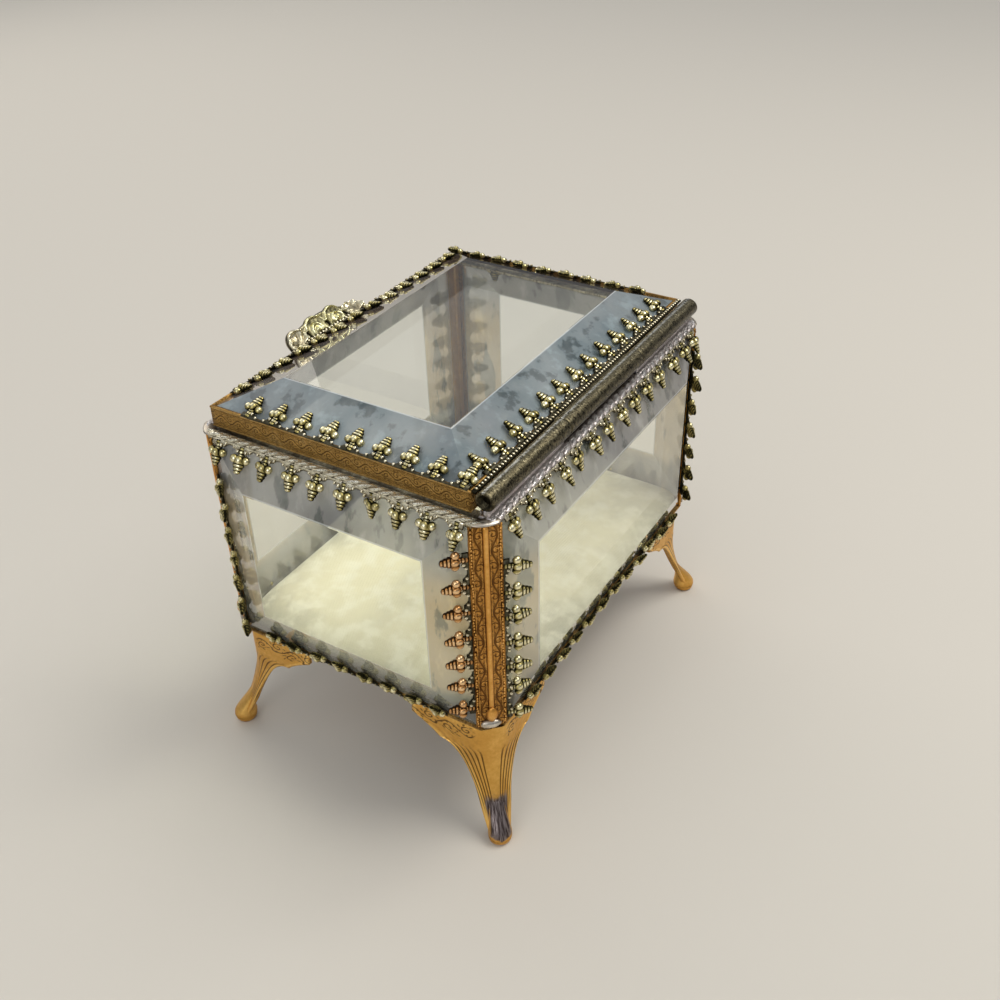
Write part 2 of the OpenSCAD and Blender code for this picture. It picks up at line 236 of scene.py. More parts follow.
def bump(tree, shader, height, strength, distance, normal=None):
    made = node(tree, "ShaderNodeBump")
    made.inputs["Strength"].default_value = strength
    made.inputs["Distance"].default_value = distance
    plug(tree, made.inputs["Height"], height)
    if normal is not None:
        plug(tree, made.inputs["Normal"], normal)
    plug(tree, shader.inputs["Normal"], made.outputs["Normal"])
    return made.outputs["Normal"]


def scrollLines(tree, u, v, period, middle, swing):
    # 1 on the engraved lines of a running scroll, 0 between them. u runs along the strip and v
    # across it, in mm. The vine is v = middle + swing sin(pi u / period). In each period a curl
    # of two rings stands on the vine's hollow side, and short strokes fan out round it.
    step = calc(tree, "DIVIDE", u, period)
    cell = calc(tree, "FLOOR", step)
    flip = calc(tree, "SUBTRACT", 1.0, calc(tree, "MULTIPLY", calc(tree, "MODULO", calc(tree, "ABSOLUTE", cell), 2.0), 2.0))
    across = calc(tree, "SUBTRACT", v, middle)
    wave = calc(tree, "MULTIPLY", calc(tree, "SINE", calc(tree, "MULTIPLY", step, math.pi)), swing)
    vine = calc(tree, "ABSOLUTE", calc(tree, "SUBTRACT", across, wave))
    a = calc(tree, "MULTIPLY", calc(tree, "SUBTRACT", calc(tree, "FRACT", step), 0.5), period)
    b = calc(tree, "ADD", calc(tree, "MULTIPLY", across, flip), swing * 0.55)
    radius = calc(tree, "SQRT", calc(tree, "ADD", calc(tree, "MULTIPLY", a, a), calc(tree, "MULTIPLY", b, b)))
    angle = calc(tree, "ARCTAN2", b, a)
    spiral = calc(tree, "PINGPONG", calc(tree, "ADD", radius, calc(tree, "MULTIPLY", angle, period * 0.04)), period * 0.125)
    fan = calc(tree, "SINE", calc(tree, "ADD", calc(tree, "MULTIPLY", angle, 7.0), calc(tree, "MULTIPLY", radius, 3.0)))
    lineVine = calc(tree, "SUBTRACT", 1.0, ramp(tree, vine, period * 0.03, period * 0.075))
    inside = calc(tree, "SUBTRACT", 1.0, ramp(tree, radius, period * 0.30, period * 0.36))
    lineCurl = calc(tree, "MULTIPLY", calc(tree, "SUBTRACT", 1.0, ramp(tree, spiral, period * 0.02, period * 0.06)), inside)
    ring = calc(tree, "MULTIPLY", ramp(tree, radius, period * 0.34, period * 0.40), calc(tree, "SUBTRACT", 1.0, ramp(tree, radius, period * 0.50, period * 0.58)))
    lineFan = calc(tree, "MULTIPLY", calc(tree, "MULTIPLY", ramp(tree, fan, 0.45, 0.8), ring), 0.8)
    return calc(tree, "MAXIMUM", calc(tree, "MAXIMUM", lineVine, lineCurl), lineFan)


giltSettings = {
    # bright metal, laid as painted highlight where the tone attribute is high, worn middle tone, and the dark of the
    # recesses, partly painted shade;
    # how rough; the scroll's period, middle and swing in mm
    "band": {"bright": (0.86, 0.60, 0.24), "middle": (0.55, 0.32, 0.09), "dark": (0.060, 0.030, 0.010), "rough": 0.34, "period": 2.1, "middleV": 2.2, "swing": 0.62, "flow": 0.5},
    "post": {"bright": (0.95, 0.56, 0.18), "middle": (0.66, 0.32, 0.07), "dark": (0.080, 0.030, 0.008), "rough": 0.32, "period": 3.4, "middleV": 1.27, "swing": 0.50, "flow": 0.75},
    # topBand, also used for the pale skirts, is paler than the other gilding: partly painted highlight on the
    # upward-facing band
    "topBand": {"bright": (0.98, 0.95, 0.80), "middle": (0.74, 0.67, 0.48), "dark": (0.080, 0.060, 0.036), "rough": 0.26, "period": 0, "middleV": 0, "swing": 0, "flow": 0.8},
    "backBand": {"bright": (0.84, 0.80, 0.77), "middle": (0.60, 0.545, 0.52), "dark": (0.12, 0.10, 0.085), "rough": 0.32, "period": 0, "middleV": 0, "swing": 0, "flow": 0.45},
    # skirt: a near-black copy of the gilding, painted shade for the skirts of the lid, bottom bands and posts
    "skirt": {"bright": (0.28, 0.26, 0.18), "middle": (0.070, 0.064, 0.040), "dark": (0.022, 0.020, 0.012), "rough": 0.36, "period": 0, "middleV": 0, "swing": 0},
    "bead": {"bright": (0.92, 0.86, 0.66), "middle": (0.36, 0.30, 0.17), "dark": (0.030, 0.025, 0.014), "rough": 0.24, "period": 0, "middleV": 0, "swing": 0},
    "tab": {"bright": (0.96, 0.93, 0.55), "middle": (0.50, 0.46, 0.25), "dark": (0.035, 0.032, 0.018), "rough": 0.28, "period": 0, "middleV": 0, "swing": 0,
            "ends": {"middle": 5.0, "near": 4.0, "far": 8.5, "tint": (0.86, 0.82, 1.0)}},
    "solder": {"bright": (0.80, 0.76, 0.68), "middle": (0.48, 0.42, 0.34), "dark": (0.12, 0.09, 0.06), "rough": 0.30, "period": 0, "middleV": 0, "swing": 0},
    "foot": {"bright": (0.93, 0.58, 0.17), "middle": (0.70, 0.38, 0.085), "dark": (0.085, 0.040, 0.014), "rough": 0.40, "period": 0, "middleV": 0, "swing": 0},
}


def giltMetal(name, setting, engraved=True, flutes=False, patch=None):
    # stamped gilding: bright where raised, brown in the worn middle, near black in the recesses; the tone attribute
    # adds painted highlight and painted shade
    material, tree, shader = newMaterial(name)
    coords = objectCoords(tree)
    tone = node(tree, "ShaderNodeAttribute", attribute_name="tone").outputs["Fac"]
    broad = noise(tree, coords, 160.0, 3.0)
    fine = noise(tree, coords, 1500.0, 3.0, 0.6)
    # the tone attribute's painted highlight and painted shade, plus random wear, set the colour below
    wearAndShade = calc(tree, "ADD", tone, calc(tree, "MULTIPLY", calc(tree, "SUBTRACT", broad, 0.5), 0.7))
    wearAndShade = calc(tree, "ADD", wearAndShade, calc(tree, "MULTIPLY", calc(tree, "SUBTRACT", fine, 0.5), 0.45))
    colour = blendColour(tree, ramp(tree, wearAndShade, 0.15, 0.62), setting["dark"], setting["middle"])
    colour = blendColour(tree, ramp(tree, wearAndShade, 0.62, 1.15), colour, setting["bright"])
    height = calc(tree, "MULTIPLY", fine, 0.25)
    split = node(tree, "ShaderNodeSeparateXYZ")
    plug(tree, split.inputs[0], node(tree, "ShaderNodeUVMap", uv_map="UVMap").outputs["UV"])
    u, v = split.outputs["X"], split.outputs["Y"]
    lines = None
    if engraved and setting["period"]:
        lines = scrollLines(tree, u, v, setting["period"], setting["middleV"], setting["swing"])
        if setting["middleV"] > 2:
            # a finer tendril runs along each side of the wide scroll
            for shift in (-1.25, 1.25):
                side = scrollLines(tree, calc(tree, "ADD", u, 0.7 * shift), v, 1.15, setting["middleV"] + shift, 0.30)
                lines = calc(tree, "MAXIMUM", lines, calc(tree, "MULTIPLY", side, 0.85))
    if engraved and "flow" in setting:
        # chased lines that flow along the strip: noise drawn out in u, cut at its middle
        spread = node(tree, "ShaderNodeCombineXYZ")
        plug(tree, spread.inputs["X"], calc(tree, "MULTIPLY", u, 0.42))
        plug(tree, spread.inputs["Y"], calc(tree, "MULTIPLY", v, 1.9))
        grain = noise(tree, spread.outputs[0], 1.5, 2.0, 0.5)
        near = calc(tree, "PINGPONG", calc(tree, "MULTIPLY", grain, 7.0), 0.5)
        drawn = calc(tree, "MULTIPLY", calc(tree, "SUBTRACT", 1.0, ramp(tree, near, 0.04, 0.22)), setting["flow"])
        lines = drawn if lines is None else calc(tree, "MAXIMUM", lines, drawn)
    if "ends" in setting:
        # the two ends of the piece lean to another tint than its middle
        place = node(tree, "ShaderNodeSeparateXYZ")
        plug(tree, place.inputs[0], coords)
        away = calc(tree, "ABSOLUTE", calc(tree, "SUBTRACT", place.outputs["X"], setting["ends"]["middle"] * mm))
        away = ramp(tree, away, setting["ends"]["near"] * mm, setting["ends"]["far"] * mm)
        colour = blendColour(tree, away, colour, setting["ends"]["tint"], "MULTIPLY")
    if flutes:
        # u runs from -1 to 1 across the foot and v is the height: thin lines at even shares of u,
        # swayed a little by the height, that fade out over the ankle and leave the middle plain
        sway = calc(tree, "MULTIPLY", calc(tree, "SINE", calc(tree, "MULTIPLY", v, 0.31)), 0.05)
        side = calc(tree, "ADD", calc(tree, "ABSOLUTE", u), sway)
        near = calc(tree, "PINGPONG", calc(tree, "MULTIPLY", side, 7.0), 0.5)
        lines = calc(tree, "SUBTRACT", 1.0, ramp(tree, near, 0.06, 0.24))
        lines = calc(tree, "MULTIPLY", lines, ramp(tree, side, 0.16, 0.24))
        lines = calc(tree, "MULTIPLY", lines, calc(tree, "MULTIPLY", ramp(tree, v, 5.0, 9.0), calc(tree, "SUBTRACT", 1.0, ramp(tree, v, 18.6, 21.6))))
        leaf = scrollLines(tree, calc(tree, "MULTIPLY", u, 13.0), v, 2.9, 24.6, 1.0)
        top = calc(tree, "MULTIPLY", ramp(tree, v, 20.8, 22.0), ramp(tree, calc(tree, "ABSOLUTE", u), 0.20, 0.30))
        lines = calc(tree, "ADD", calc(tree, "MULTIPLY", leaf, top), calc(tree, "MULTIPLY", lines, calc(tree, "SUBTRACT", 1.0, top)))
    if lines is not None:
        colour = blendColour(tree, calc(tree, "MULTIPLY", lines, 0.86), colour, setting["dark"])
        height = calc(tree, "SUBTRACT", height, lines)
    if patch:
        # a dark patch between two heights, with streaks that run down it
        streak = noise(tree, coords, 700.0, 2.0)
        level = calc(tree, "ADD", v, calc(tree, "MULTIPLY", calc(tree, "SUBTRACT", streak, 0.5), 3.0))
        area = calc(tree, "MULTIPLY", ramp(tree, level, *patch["low"]), calc(tree, "SUBTRACT", 1.0, ramp(tree, level, *patch["high"])))
        area = calc(tree, "MULTIPLY", area, calc(tree, "SUBTRACT", 1.0, ramp(tree, calc(tree, "ABSOLUTE", u), *patch["side"])))
        run = node(tree, "ShaderNodeCombineXYZ")
        plug(tree, run.inputs["X"], calc(tree, "MULTIPLY", u, 4.5))
        plug(tree, run.inputs["Y"], calc(tree, "MULTIPLY", v, 0.22))
        bare = blendColour(tree, ramp(tree, noise(tree, run.outputs[0], 1.6, 3.0, 0.6), 0.40, 0.62), patch["deep"], patch["pale"])
        colour = blendColour(tree, area, colour, bare)
    plug(tree, shader.inputs["Base Color"], colour)
    shader.inputs["Metallic"].default_value = 1.0
    plug(tree, shader.inputs["Roughness"], calc(tree, "SUBTRACT", setting["rough"] + 0.22, calc(tree, "MULTIPLY", ramp(tree, wearAndShade, 0.1, 1.1), 0.26)))
    bump(tree, shader, height, 0.7, 0.00020)
    return material


def fingerMetal(name, bright, middle, dark):
    # the fingers: bright crests of painted highlight over a dark ground of painted shade, with fine ribs across stem
    # and tip.
    # UV: u is the angle round a part, v runs from 0 to 1 along the finger. The tip's four rings lie
    # between y = 2.66 and 5.2 of 5.2 mm, and the stem has ribs of the same pitch
    material, tree, shader = newMaterial(name)
    coords = objectCoords(tree)
    tone = node(tree, "ShaderNodeAttribute", attribute_name="tone").outputs["Fac"]
    split = node(tree, "ShaderNodeSeparateXYZ")
    plug(tree, split.inputs[0], node(tree, "ShaderNodeUVMap", uv_map="UVMap").outputs["UV"])
    v = split.outputs["Y"]
    first = 2.66 / 5.2
    rib = calc(tree, "COSINE", calc(tree, "MULTIPLY", calc(tree, "SUBTRACT", v, first), 8 * math.pi / (1 - first)))
    zone = calc(tree, "MAXIMUM", calc(tree, "SUBTRACT", 1.0, ramp(tree, v, 0.32, 0.38)), ramp(tree, v, 0.56, 0.60))
    groove = calc(tree, "MULTIPLY", ramp(tree, rib, 0.05, 0.75), zone)
    broad = noise(tree, coords, 220.0, 2.0)
    fine = noise(tree, coords, 1800.0, 3.0, 0.6)
    # the tone attribute's painted highlight and shade, painted shade in the rib grooves, and random wear set the colour
    wearAndShade = calc(tree, "ADD", calc(tree, "SUBTRACT", tone, calc(tree, "MULTIPLY", groove, 0.75)), calc(tree, "MULTIPLY", calc(tree, "SUBTRACT", broad, 0.5), 0.8))
    wearAndShade = calc(tree, "ADD", wearAndShade, calc(tree, "MULTIPLY", calc(tree, "SUBTRACT", fine, 0.5), 0.35))
    colour = blendColour(tree, ramp(tree, wearAndShade, 0.12, 0.45), dark, middle)
    colour = blendColour(tree, ramp(tree, wearAndShade, 0.62, 1.10), colour, bright)
    plug(tree, shader.inputs["Base Color"], colour)
    shader.inputs["Metallic"].default_value = 1.0
    plug(tree, shader.inputs["Roughness"], calc(tree, "SUBTRACT", 0.52, calc(tree, "MULTIPLY", ramp(tree, wearAndShade, 0.2, 0.9), 0.28)))
    bump(tree, shader, calc(tree, "ADD", calc(tree, "MULTIPLY", groove, -1.0), calc(tree, "MULTIPLY", fine, 0.3)), 0.7, 0.00018)
    return material


glassSettings = {
    # clear tint; painted reflection tint of the bevel at the top, on the upright bevels and at the foot (for the lid:
    # of the front and left bevels); how much of the bevel the painted reflection covers, how much of it stands below
    # and above the middle height, depth of the painted reflection patches, and how deep the bevel is in mm
    "side": {"tint": (0.965, 0.975, 0.94), "bevelReflectionTint": (0.235, 0.235, 0.235), "middleReflectionTint": (0.50, 0.37, 0.20), "otherReflectionTint": (0.18, 0.17, 0.11),
             "paintedCover": 0.68, "low": 0.82, "high": 0.92, "reflectionPatches": 0.9, "deep": 3.0},
    "lid": {"tint": (0.96, 0.975, 0.96), "bevelReflectionTint": (0.150, 0.190, 0.205), "middleReflectionTint": (0.150, 0.190, 0.205), "otherReflectionTint": (0.125, 0.092, 0.073),
            "paintedCover": 0.86, "low": 0.92, "high": 0.92, "reflectionPatches": 0.85, "deep": 4.2},
}


def glassMaterial(name, setting, isLid):
    # clear glass with faint smears. The bevel is told by its depth under the flat face, and has a painted reflection: a
    # greyer tint, warm brown at middle height and dark olive at the foot (for the lid: brown on the front and left
    # bevels), with darker and lighter painted patches, and a painted highlight line along its inner edge. Lamps pass
    # through the glass, so that what is inside is lit.
    material, tree, shader = newMaterial(name)
    coords = objectCoords(tree)
    split = node(tree, "ShaderNodeSeparateXYZ")
    plug(tree, split.inputs[0], coords)
    if isLid:
        depth = calc(tree, "SUBTRACT", split.outputs["Z"], 0.07998)
    else:
        depthX = calc(tree, "SUBTRACT", calc(tree, "ABSOLUTE", split.outputs["X"]), 0.0441)
        depthY = calc(tree, "SUBTRACT", calc(tree, "ABSOLUTE", split.outputs["Y"]), 0.0321)
        depth = calc(tree, "MAXIMUM", depthX, depthY)
    deep = setting["deep"] * mm
    slope = calc(tree, "MULTIPLY", ramp(tree, depth, -0.0005, -0.0001), calc(tree, "SUBTRACT", 1.0, ramp(tree, depth, deep - 0.00006, deep - 0.00002)))
    crest = calc(tree, "MULTIPLY", slope, ramp(tree, depth, deep - 0.00016, deep - 0.00009))
    smear = noise(tree, coords, 45.0, 5.0, 0.6)
    specks = ramp(tree, noise(tree, coords, 600.0, 2.0), 0.66, 0.76)
    upper = ramp(tree, split.outputs["Z"], 0.060, 0.070)
    share = calc(tree, "ADD", setting["low"], calc(tree, "MULTIPLY", upper, setting["high"] - setting["low"]))
    share = calc(tree, "ADD", share, calc(tree, "MULTIPLY", calc(tree, "SUBTRACT", smear, 0.5), 0.9), clamp=True)
    drawn = node(tree, "ShaderNodeVectorMath", operation="MULTIPLY")
    plug(tree, drawn.inputs[0], coords)
    drawn.inputs[1].default_value = (1.0, 1.0, 0.35)
    reflectionPatches = noise(tree, drawn.outputs[0], 170.0, 5.0, 0.6)
    # painted reflection: darker and lighter patches over the bevel
    dark = calc(tree, "MULTIPLY", ramp(tree, reflectionPatches, 0.53, 0.60), setting["reflectionPatches"])
    light = calc(tree, "MULTIPLY", calc(tree, "SUBTRACT", 1.0, ramp(tree, reflectionPatches, 0.32, 0.46)), 0.75 * setting["reflectionPatches"])
    # painted reflection tint of the bevel, warm brown below the middle height
    bevelReflectionTint = blendColour(tree, ramp(tree, split.outputs["Z"], 0.058, 0.068), setting["middleReflectionTint"], setting["bevelReflectionTint"])
    if isLid:
        # nearer to the front or left edge than to the back or right one
        fromFront = calc(tree, "MINIMUM", calc(tree, "ADD", split.outputs["X"], 0.04135), calc(tree, "ADD", split.outputs["Y"], 0.02935))
        fromBack = calc(tree, "MINIMUM", calc(tree, "SUBTRACT", 0.04135, split.outputs["X"]), calc(tree, "SUBTRACT", 0.02695, split.outputs["Y"]))
        far = ramp(tree, calc(tree, "SUBTRACT", fromBack, fromFront), -0.00002, 0.00002)
    else:
        far = calc(tree, "SUBTRACT", 1.0, ramp(tree, split.outputs["Z"], 0.0345, 0.0375))
    # a darker painted reflection tint on the foot bevel (for the lid: on the front and left bevels)
    bevelReflectionTint = blendColour(tree, far, bevelReflectionTint, setting["otherReflectionTint"])
    bevelReflectionTint = blendColour(tree, dark, bevelReflectionTint, blendColour(tree, 1.0, bevelReflectionTint, (0.20, 0.25, 0.26), "MULTIPLY"))
    bevelReflectionTint = blendColour(tree, light, bevelReflectionTint, blendColour(tree, 1.0, bevelReflectionTint, (1.9, 1.9, 1.85), "MULTIPLY"))
    # painted highlight: a pale line along the bevel's inner edge
    bevelReflectionTint = blendColour(tree, calc(tree, "MULTIPLY", crest, 0.7), bevelReflectionTint, (0.72, 0.74, 0.72))
    share = calc(tree, "MULTIPLY", slope, share)
    plug(tree, shader.inputs["Base Color"], blendColour(tree, share, setting["tint"], bevelReflectionTint))
    # where the painted reflection covers the bevel, less light passes through
    paintedCover = calc(tree, "MULTIPLY", share, setting["paintedCover"])
    plug(tree, shader.inputs["Transmission Weight"], calc(tree, "SUBTRACT", 1.0, paintedCover))
    shader.inputs["IOR"].default_value = 1.16
    shader.inputs["Coat Weight"].default_value = 1.0
    shader.inputs["Coat IOR"].default_value = 1.45
    shader.inputs["Coat Roughness"].default_value = 0.02
    plug(tree, shader.inputs["Roughness"], calc(tree, "MULTIPLY", calc(tree, "ADD", ramp(tree, smear, 0.5, 0.8), specks), 0.03))
    clear = node(tree, "ShaderNodeBsdfTransparent")
    clear.inputs["Color"].default_value = (*[0.92 * t for t in setting["tint"]], 1.0)
    mix = node(tree, "ShaderNodeMixShader")
    plug(tree, mix.inputs[0], node(tree, "ShaderNodeLightPath").outputs["Is Shadow Ray"])
    plug(tree, mix.inputs[1], shader.outputs[0])
    plug(tree, mix.inputs[2], clear.outputs[0])
    plug(tree, tree.nodes["Material Output"].inputs["Surface"], mix.outputs[0])
    return material


metals = {
    "band": giltMetal("giltBand", giltSettings["band"]),
    "post": giltMetal("giltPost", giltSettings["post"]),
    "postBead": giltMetal("giltPostBead", giltSettings["post"], engraved=False),
    "topBand": giltMetal("giltTopBand", giltSettings["topBand"]),
    "backBand": giltMetal("giltBackBand", giltSettings["backBand"]),
    "skirtPale": giltMetal("giltSkirtPale", giltSettings["topBand"]),
    # the skirts' near-black metal is painted shade
    "skirtPaintedShade": giltMetal("giltSkirtPaintedShade", giltSettings["skirt"], engraved=False),
    "bead": giltMetal("giltBead", giltSettings["bead"], engraved=False),
    "solder": giltMetal("solder", giltSettings["solder"], engraved=False),
    "finger": fingerMetal("giltFinger", (0.98, 0.91, 0.60), (0.42, 0.35, 0.13), (0.018, 0.016, 0.006)),
    "fingerCopper": fingerMetal("giltFingerCopper", (0.95, 0.64, 0.34), (0.52, 0.25, 0.08), (0.030, 0.015, 0.006)),
}
print("metals made")


fringeSettings = {
    "reach": 5.2, "pitch": 5.85, "skirt": 1.2, "thick": 0.5, "arch": 1.55,
    # each part of a finger: middle x, first and last y, height of its middle, half width, half depth
    "stem": (0.0, 0.1, 2.2, -0.1, 0.62, 0.48), "balls": (1.16, 1.60, 3.24, -0.04, 0.86, 0.68),
    "boss": (0.0, 1.66, 3.40, 0.24, 0.80, 0.78), "cone": (0.0, 2.66, 5.2, -0.04, 1.38, 0.84),
    # beads along a scallop, from its middle: x, y, radius
    "beads": [(-1.98, 1.02, 0.40), (-0.98, 0.52, 0.33), (0.98, 0.52, 0.33), (1.98, 1.02, 0.40)],
}


def roundPart(x0, y0, y1, z0, wide, deep, profile, rows, around, rib):
    # solid of rings along y: x = x0 + wide p(q) cos a, z = z0 + deep p(q) sin a, y = y0 + q (y1 - y0),
    # where p(q) is the profile; v of its UV runs with y where rib is set, and else stands at 0.5
    q = np.linspace(0, 1, rows)[:, None]
    p = profile(q)
    a = np.linspace(0, 2 * math.pi, around, endpoint=False)[None, :] + 0.3
    y = np.broadcast_to(y0 + q * (y1 - y0), (rows, around))
    grid = np.stack([x0 + wide * p * np.cos(a), y, z0 + deep * p * np.sin(a)], -1)
    uv = np.stack([np.broadcast_to(a, y.shape), y / fringeSettings["reach"] if rib else np.full(y.shape, 0.5)], -1)
    # tone is painted light: bright on the outer face, painted shade near each part's root and on a ball's side toward
    # the boss, a fixed tone on the face toward the glass, and a painted highlight on a ball's outer side
    tone = np.clip(1.75 * np.maximum(np.sin(a) - 0.30, 0) * p ** 0.3, 0, 1) * (1 - 0.8 * np.maximum(1 - 3.2 * q, 0))
    tone = np.where(np.sin(a) < -0.4, 0.30 if rib else 0.62, tone)
    tone = np.where(np.cos(a) * np.sign(x0) < -0.35, 0.25 * tone, tone)
    tone = np.where(np.cos(a) * np.sign(x0) > 0.75, np.maximum(tone, 0.80 * (p > 0.6)), tone)
    return grid, uv, tone


def fingerParts():
    # stem with straight sides, two side balls and a boss with p = sqrt(1 - (2q - 1)^2), and a tip
    # that narrows from 1 to 0.42 in four rings, p = (1 - 0.62 q^1.5) (0.92 - 0.08 cos(8 pi q))
    f = fringeSettings
    ball = lambda q: np.sqrt(np.maximum(0.05, 1 - (2 * q - 1) ** 2 * 0.985))
    x, *rest = f["balls"]
    tip = lambda q: (1 - 0.62 * q ** 1.5) * (0.92 - 0.08 * np.cos(8 * math.pi * q)) * np.where(q > 0.99, 0.45, 1)
    return [
        roundPart(*f["stem"], lambda q: 1 + 0.12 * np.cos(8 * math.pi * q), 9, 6, True),
        roundPart(x, *rest, ball, 6, 8, False),
        roundPart(-x, *rest, ball, 6, 8, False),
        roundPart(*f["boss"], ball, 6, 8, False),
        roundPart(*f["cone"], tip, 17, 8, True),
    ]


def addFringe(parts, length, start, end, place, slots, seed=1, bend=6.0):
    # Flat strip edge along X, its fold line at y = 0 and its outer face at z = 0 before place().
    # The same run of fingers as the CAD: gaps = floor((length - start - end) / pitch).
    # Each finger is bent by hand: turned about X by about bend degrees, and a little about Y and Z.
    f = fringeSettings
    gaps = max(1, int((length - start - end) / f["pitch"] + 0.01))
    spare = length - start - end - gaps * f["pitch"]
    first = -length / 2 + start + (spare / 2 if start == end else 0)
    centres = first + np.arange(gaps + 1) * f["pitch"]
    rng = np.random.default_rng(seed)
    n = len(centres)
    tilt, twist, lean = (np.radians(rng.normal(0, 1, n) * d)[:, None, None] for d in (bend, 7.0, 3.0))
    for shape, uv, tone in fingerParts():
        x, y, z = (np.broadcast_to(shape[..., k], (n,) + shape.shape[:2]) for k in range(3))
        x, z = x * np.cos(twist) + z * np.sin(twist), -x * np.sin(twist) + z * np.cos(twist)
        y, z = y * np.cos(tilt) - z * np.sin(tilt), y * np.sin(tilt) + z * np.cos(tilt)
        x, y = x * np.cos(lean) - y * np.sin(lean), x * np.sin(lean) + y * np.cos(lean)
        fingers = np.stack([x + centres[:, None, None], np.minimum(y, f["reach"] + 0.05), z - 0.1], -1)
        addGrid(parts, place(fingers), uv[None], tone[None], slots[0], wrapV=True, capU=True)
    # skirt: y from 0 to the scalloped edge e(x) = min(skirt, c - sqrt(r^2 - (x - m)^2))
    steps = 12
    xs = np.concatenate([[first - 1.3], first + np.arange(gaps * steps + 1) / steps * f["pitch"], [centres[-1] + 1.3]])
    off = (xs - first) / f["pitch"]
    toMiddle = np.abs(off - np.floor(off) - 0.5) * f["pitch"]
    inRun = (off >= 0) & (off <= gaps)
    radius, centre = f["arch"], f["skirt"] + 0.45 * f["arch"]
    edge = np.where(inRun & (toMiddle < radius), centre - np.sqrt(np.maximum(0, radius ** 2 - toMiddle ** 2)), f["skirt"])
    edge = np.minimum(edge, f["skirt"])
    share = np.array([0.0, 0.45, 0.85, 1.0, 1.0, 0.0])
    level = np.array([0.0, 0.05, 0.0, -0.12, -f["thick"], -f["thick"]])
    shape = (len(xs), len(share))
    along, across = np.broadcast_to(xs[:, None], shape), edge[:, None] * share[None, :]
    skirt = np.stack([along, across, np.broadcast_to(level, shape)], -1)
    # skirtTone is painted shade: lighter by the fold, darker toward the scalloped edge, black on the edge and underside
    skirtTone = np.broadcast_to(np.array([0.8, 0.7, 0.5, 0.15, 0.0, 0.0]), shape)
    addGrid(parts, place(skirt), np.stack([along, across + 4.4], -1), skirtTone, slots[1], wrapV=True, capU=True)
    # beads along the scallops
    middles = first + (np.arange(gaps) + 0.5) * f["pitch"]
    for x, y, r in f["beads"]:
        bead, uv, tone = roundPart(0, -r, r, 0, r, 0.85 * r, lambda q: np.sqrt(np.maximum(0.08, 1 - (2 * q - 1) ** 2)), 5, 7, False)
        spot = np.stack([middles + x, np.full(gaps, y), np.full(gaps, 0.05)], -1) + rng.normal(0, 0.09, (gaps, 3))
        addGrid(parts, place(bead[None] + spot[:, None, None, :]), uv[None], np.clip(tone + 0.18, 0, 1)[None], slots[2], wrapV=True, capU=True)


bandSettings = {
    "wide": 4.4, "chamfer": 4.2 - 0.6 * math.sqrt(2),
    # distance in from the fold line, height and tone of the outline: a rounded rope along the
    # fold, then the engraved ground and a narrow inner border
    "across": [0.0, 0.10, 0.32, 0.62, 0.96, 1.30, 1.62, 1.90, 2.12, 2.3, 4.2, 4.4],
    "relief": [-0.10, 0.10, 0.27, 0.39, 0.45, 0.42, 0.32, 0.16, -0.02, -0.10, -0.05, 0.0],
    "tone": [0.5, 0.75, 0.95, 1.1, 1.2, 1.15, 1.0, 0.75, 0.4, 0.2, 0.5, 0.6],
}


def addFlatBand(parts, half, out, place, slot, rise=1.0):
    # Top face: x = s e(c), y = out - c, z = relief(c) - 0.3 twist, with e(c) = min(half - c,
    # half - chamfer + c) for the mitre and the corner cut, and twist = 1 - |sin(pi (x / 2.3 +
    # 0.55 c + wobble))|^0.6 for the rope's strands; the ring closes over the flat underside
    b = bandSettings
    s = np.linspace(-1, 1, 241)
    c = np.array(b["across"])
    z = np.array(b["relief"]) * rise
    tone = np.array(b["tone"] + [0.35, 0.35])
    c = np.concatenate([c, [4.4, 0.0]])
    z = np.concatenate([z, [-0.6, -0.6]])
    e = np.minimum(half - c, half - b["chamfer"] + c)
    x = s[:, None] * e[None, :]
    strand = x / 2.3 + 0.55 * c + 0.22 * wobble(x, c + 0 * x, 0 * x + half, 0.5, 5)
    twist = np.where((c > 0.05) & (c < 2.0), 1 - np.abs(np.sin(math.pi * strand)) ** 0.6, 0)
    grid = np.stack([x, np.broadcast_to(out - c[None, :], x.shape), z[None, :] - 0.30 * rise * twist], -1)
    uv = np.stack([x, np.broadcast_to(c[None, :], x.shape)], -1)
    tone = tone[None, :] - 0.95 * twist
    addGrid(parts, place(grid), uv, np.broadcast_to(tone, x.shape), slot, wrapV=True, capU=True)


for side in sides:
    long = side in ("back", "front")
    half = case["halfLong"] if long else case["halfShort"]
    out = case["halfShort"] if long else case["halfLong"]
    length = 2 * (half - case["cornerCut"])
    k = sides.index(side)

    top = newParts()
    addFlatBand(top, half, out, lambda p: toSide(p + [0, 0, case["caseTop"]], side), 0)
    addFringe(top, length, 1.9, 1.9, lambda p: toSide(folded(p, -60, (0, out, case["caseTop"])), side), (1, 2, 3), seed=11 + k)
    makePiece("topBand_" + side, top, [metals["backBand" if long else "topBand"], metals["finger"], metals["skirtPale"], metals["bead"]],
              "case", "top_band_" + side)

    low = newParts()
    underside = np.array([1, 1, -1])
    addFlatBand(low, half, out, lambda p: toSide(p * underside + [0, 0, case["footTop"]], side), 0, 0.3)
    addFringe(low, length, 7.2, 7.2,
              lambda p: toSide(folded(p, -57, (0, out, 0)) * underside + [0, 0, case["footTop"]], side),
              (1, 2, 3), seed=21 + k, bend=2.5)
    makePiece("bottomBand_" + side, low, [metals["band"], metals["finger"], metals["skirtPaintedShade"], metals["bead"]],
              "case", "bottom_band_" + side)
print("top and bottom bands made")


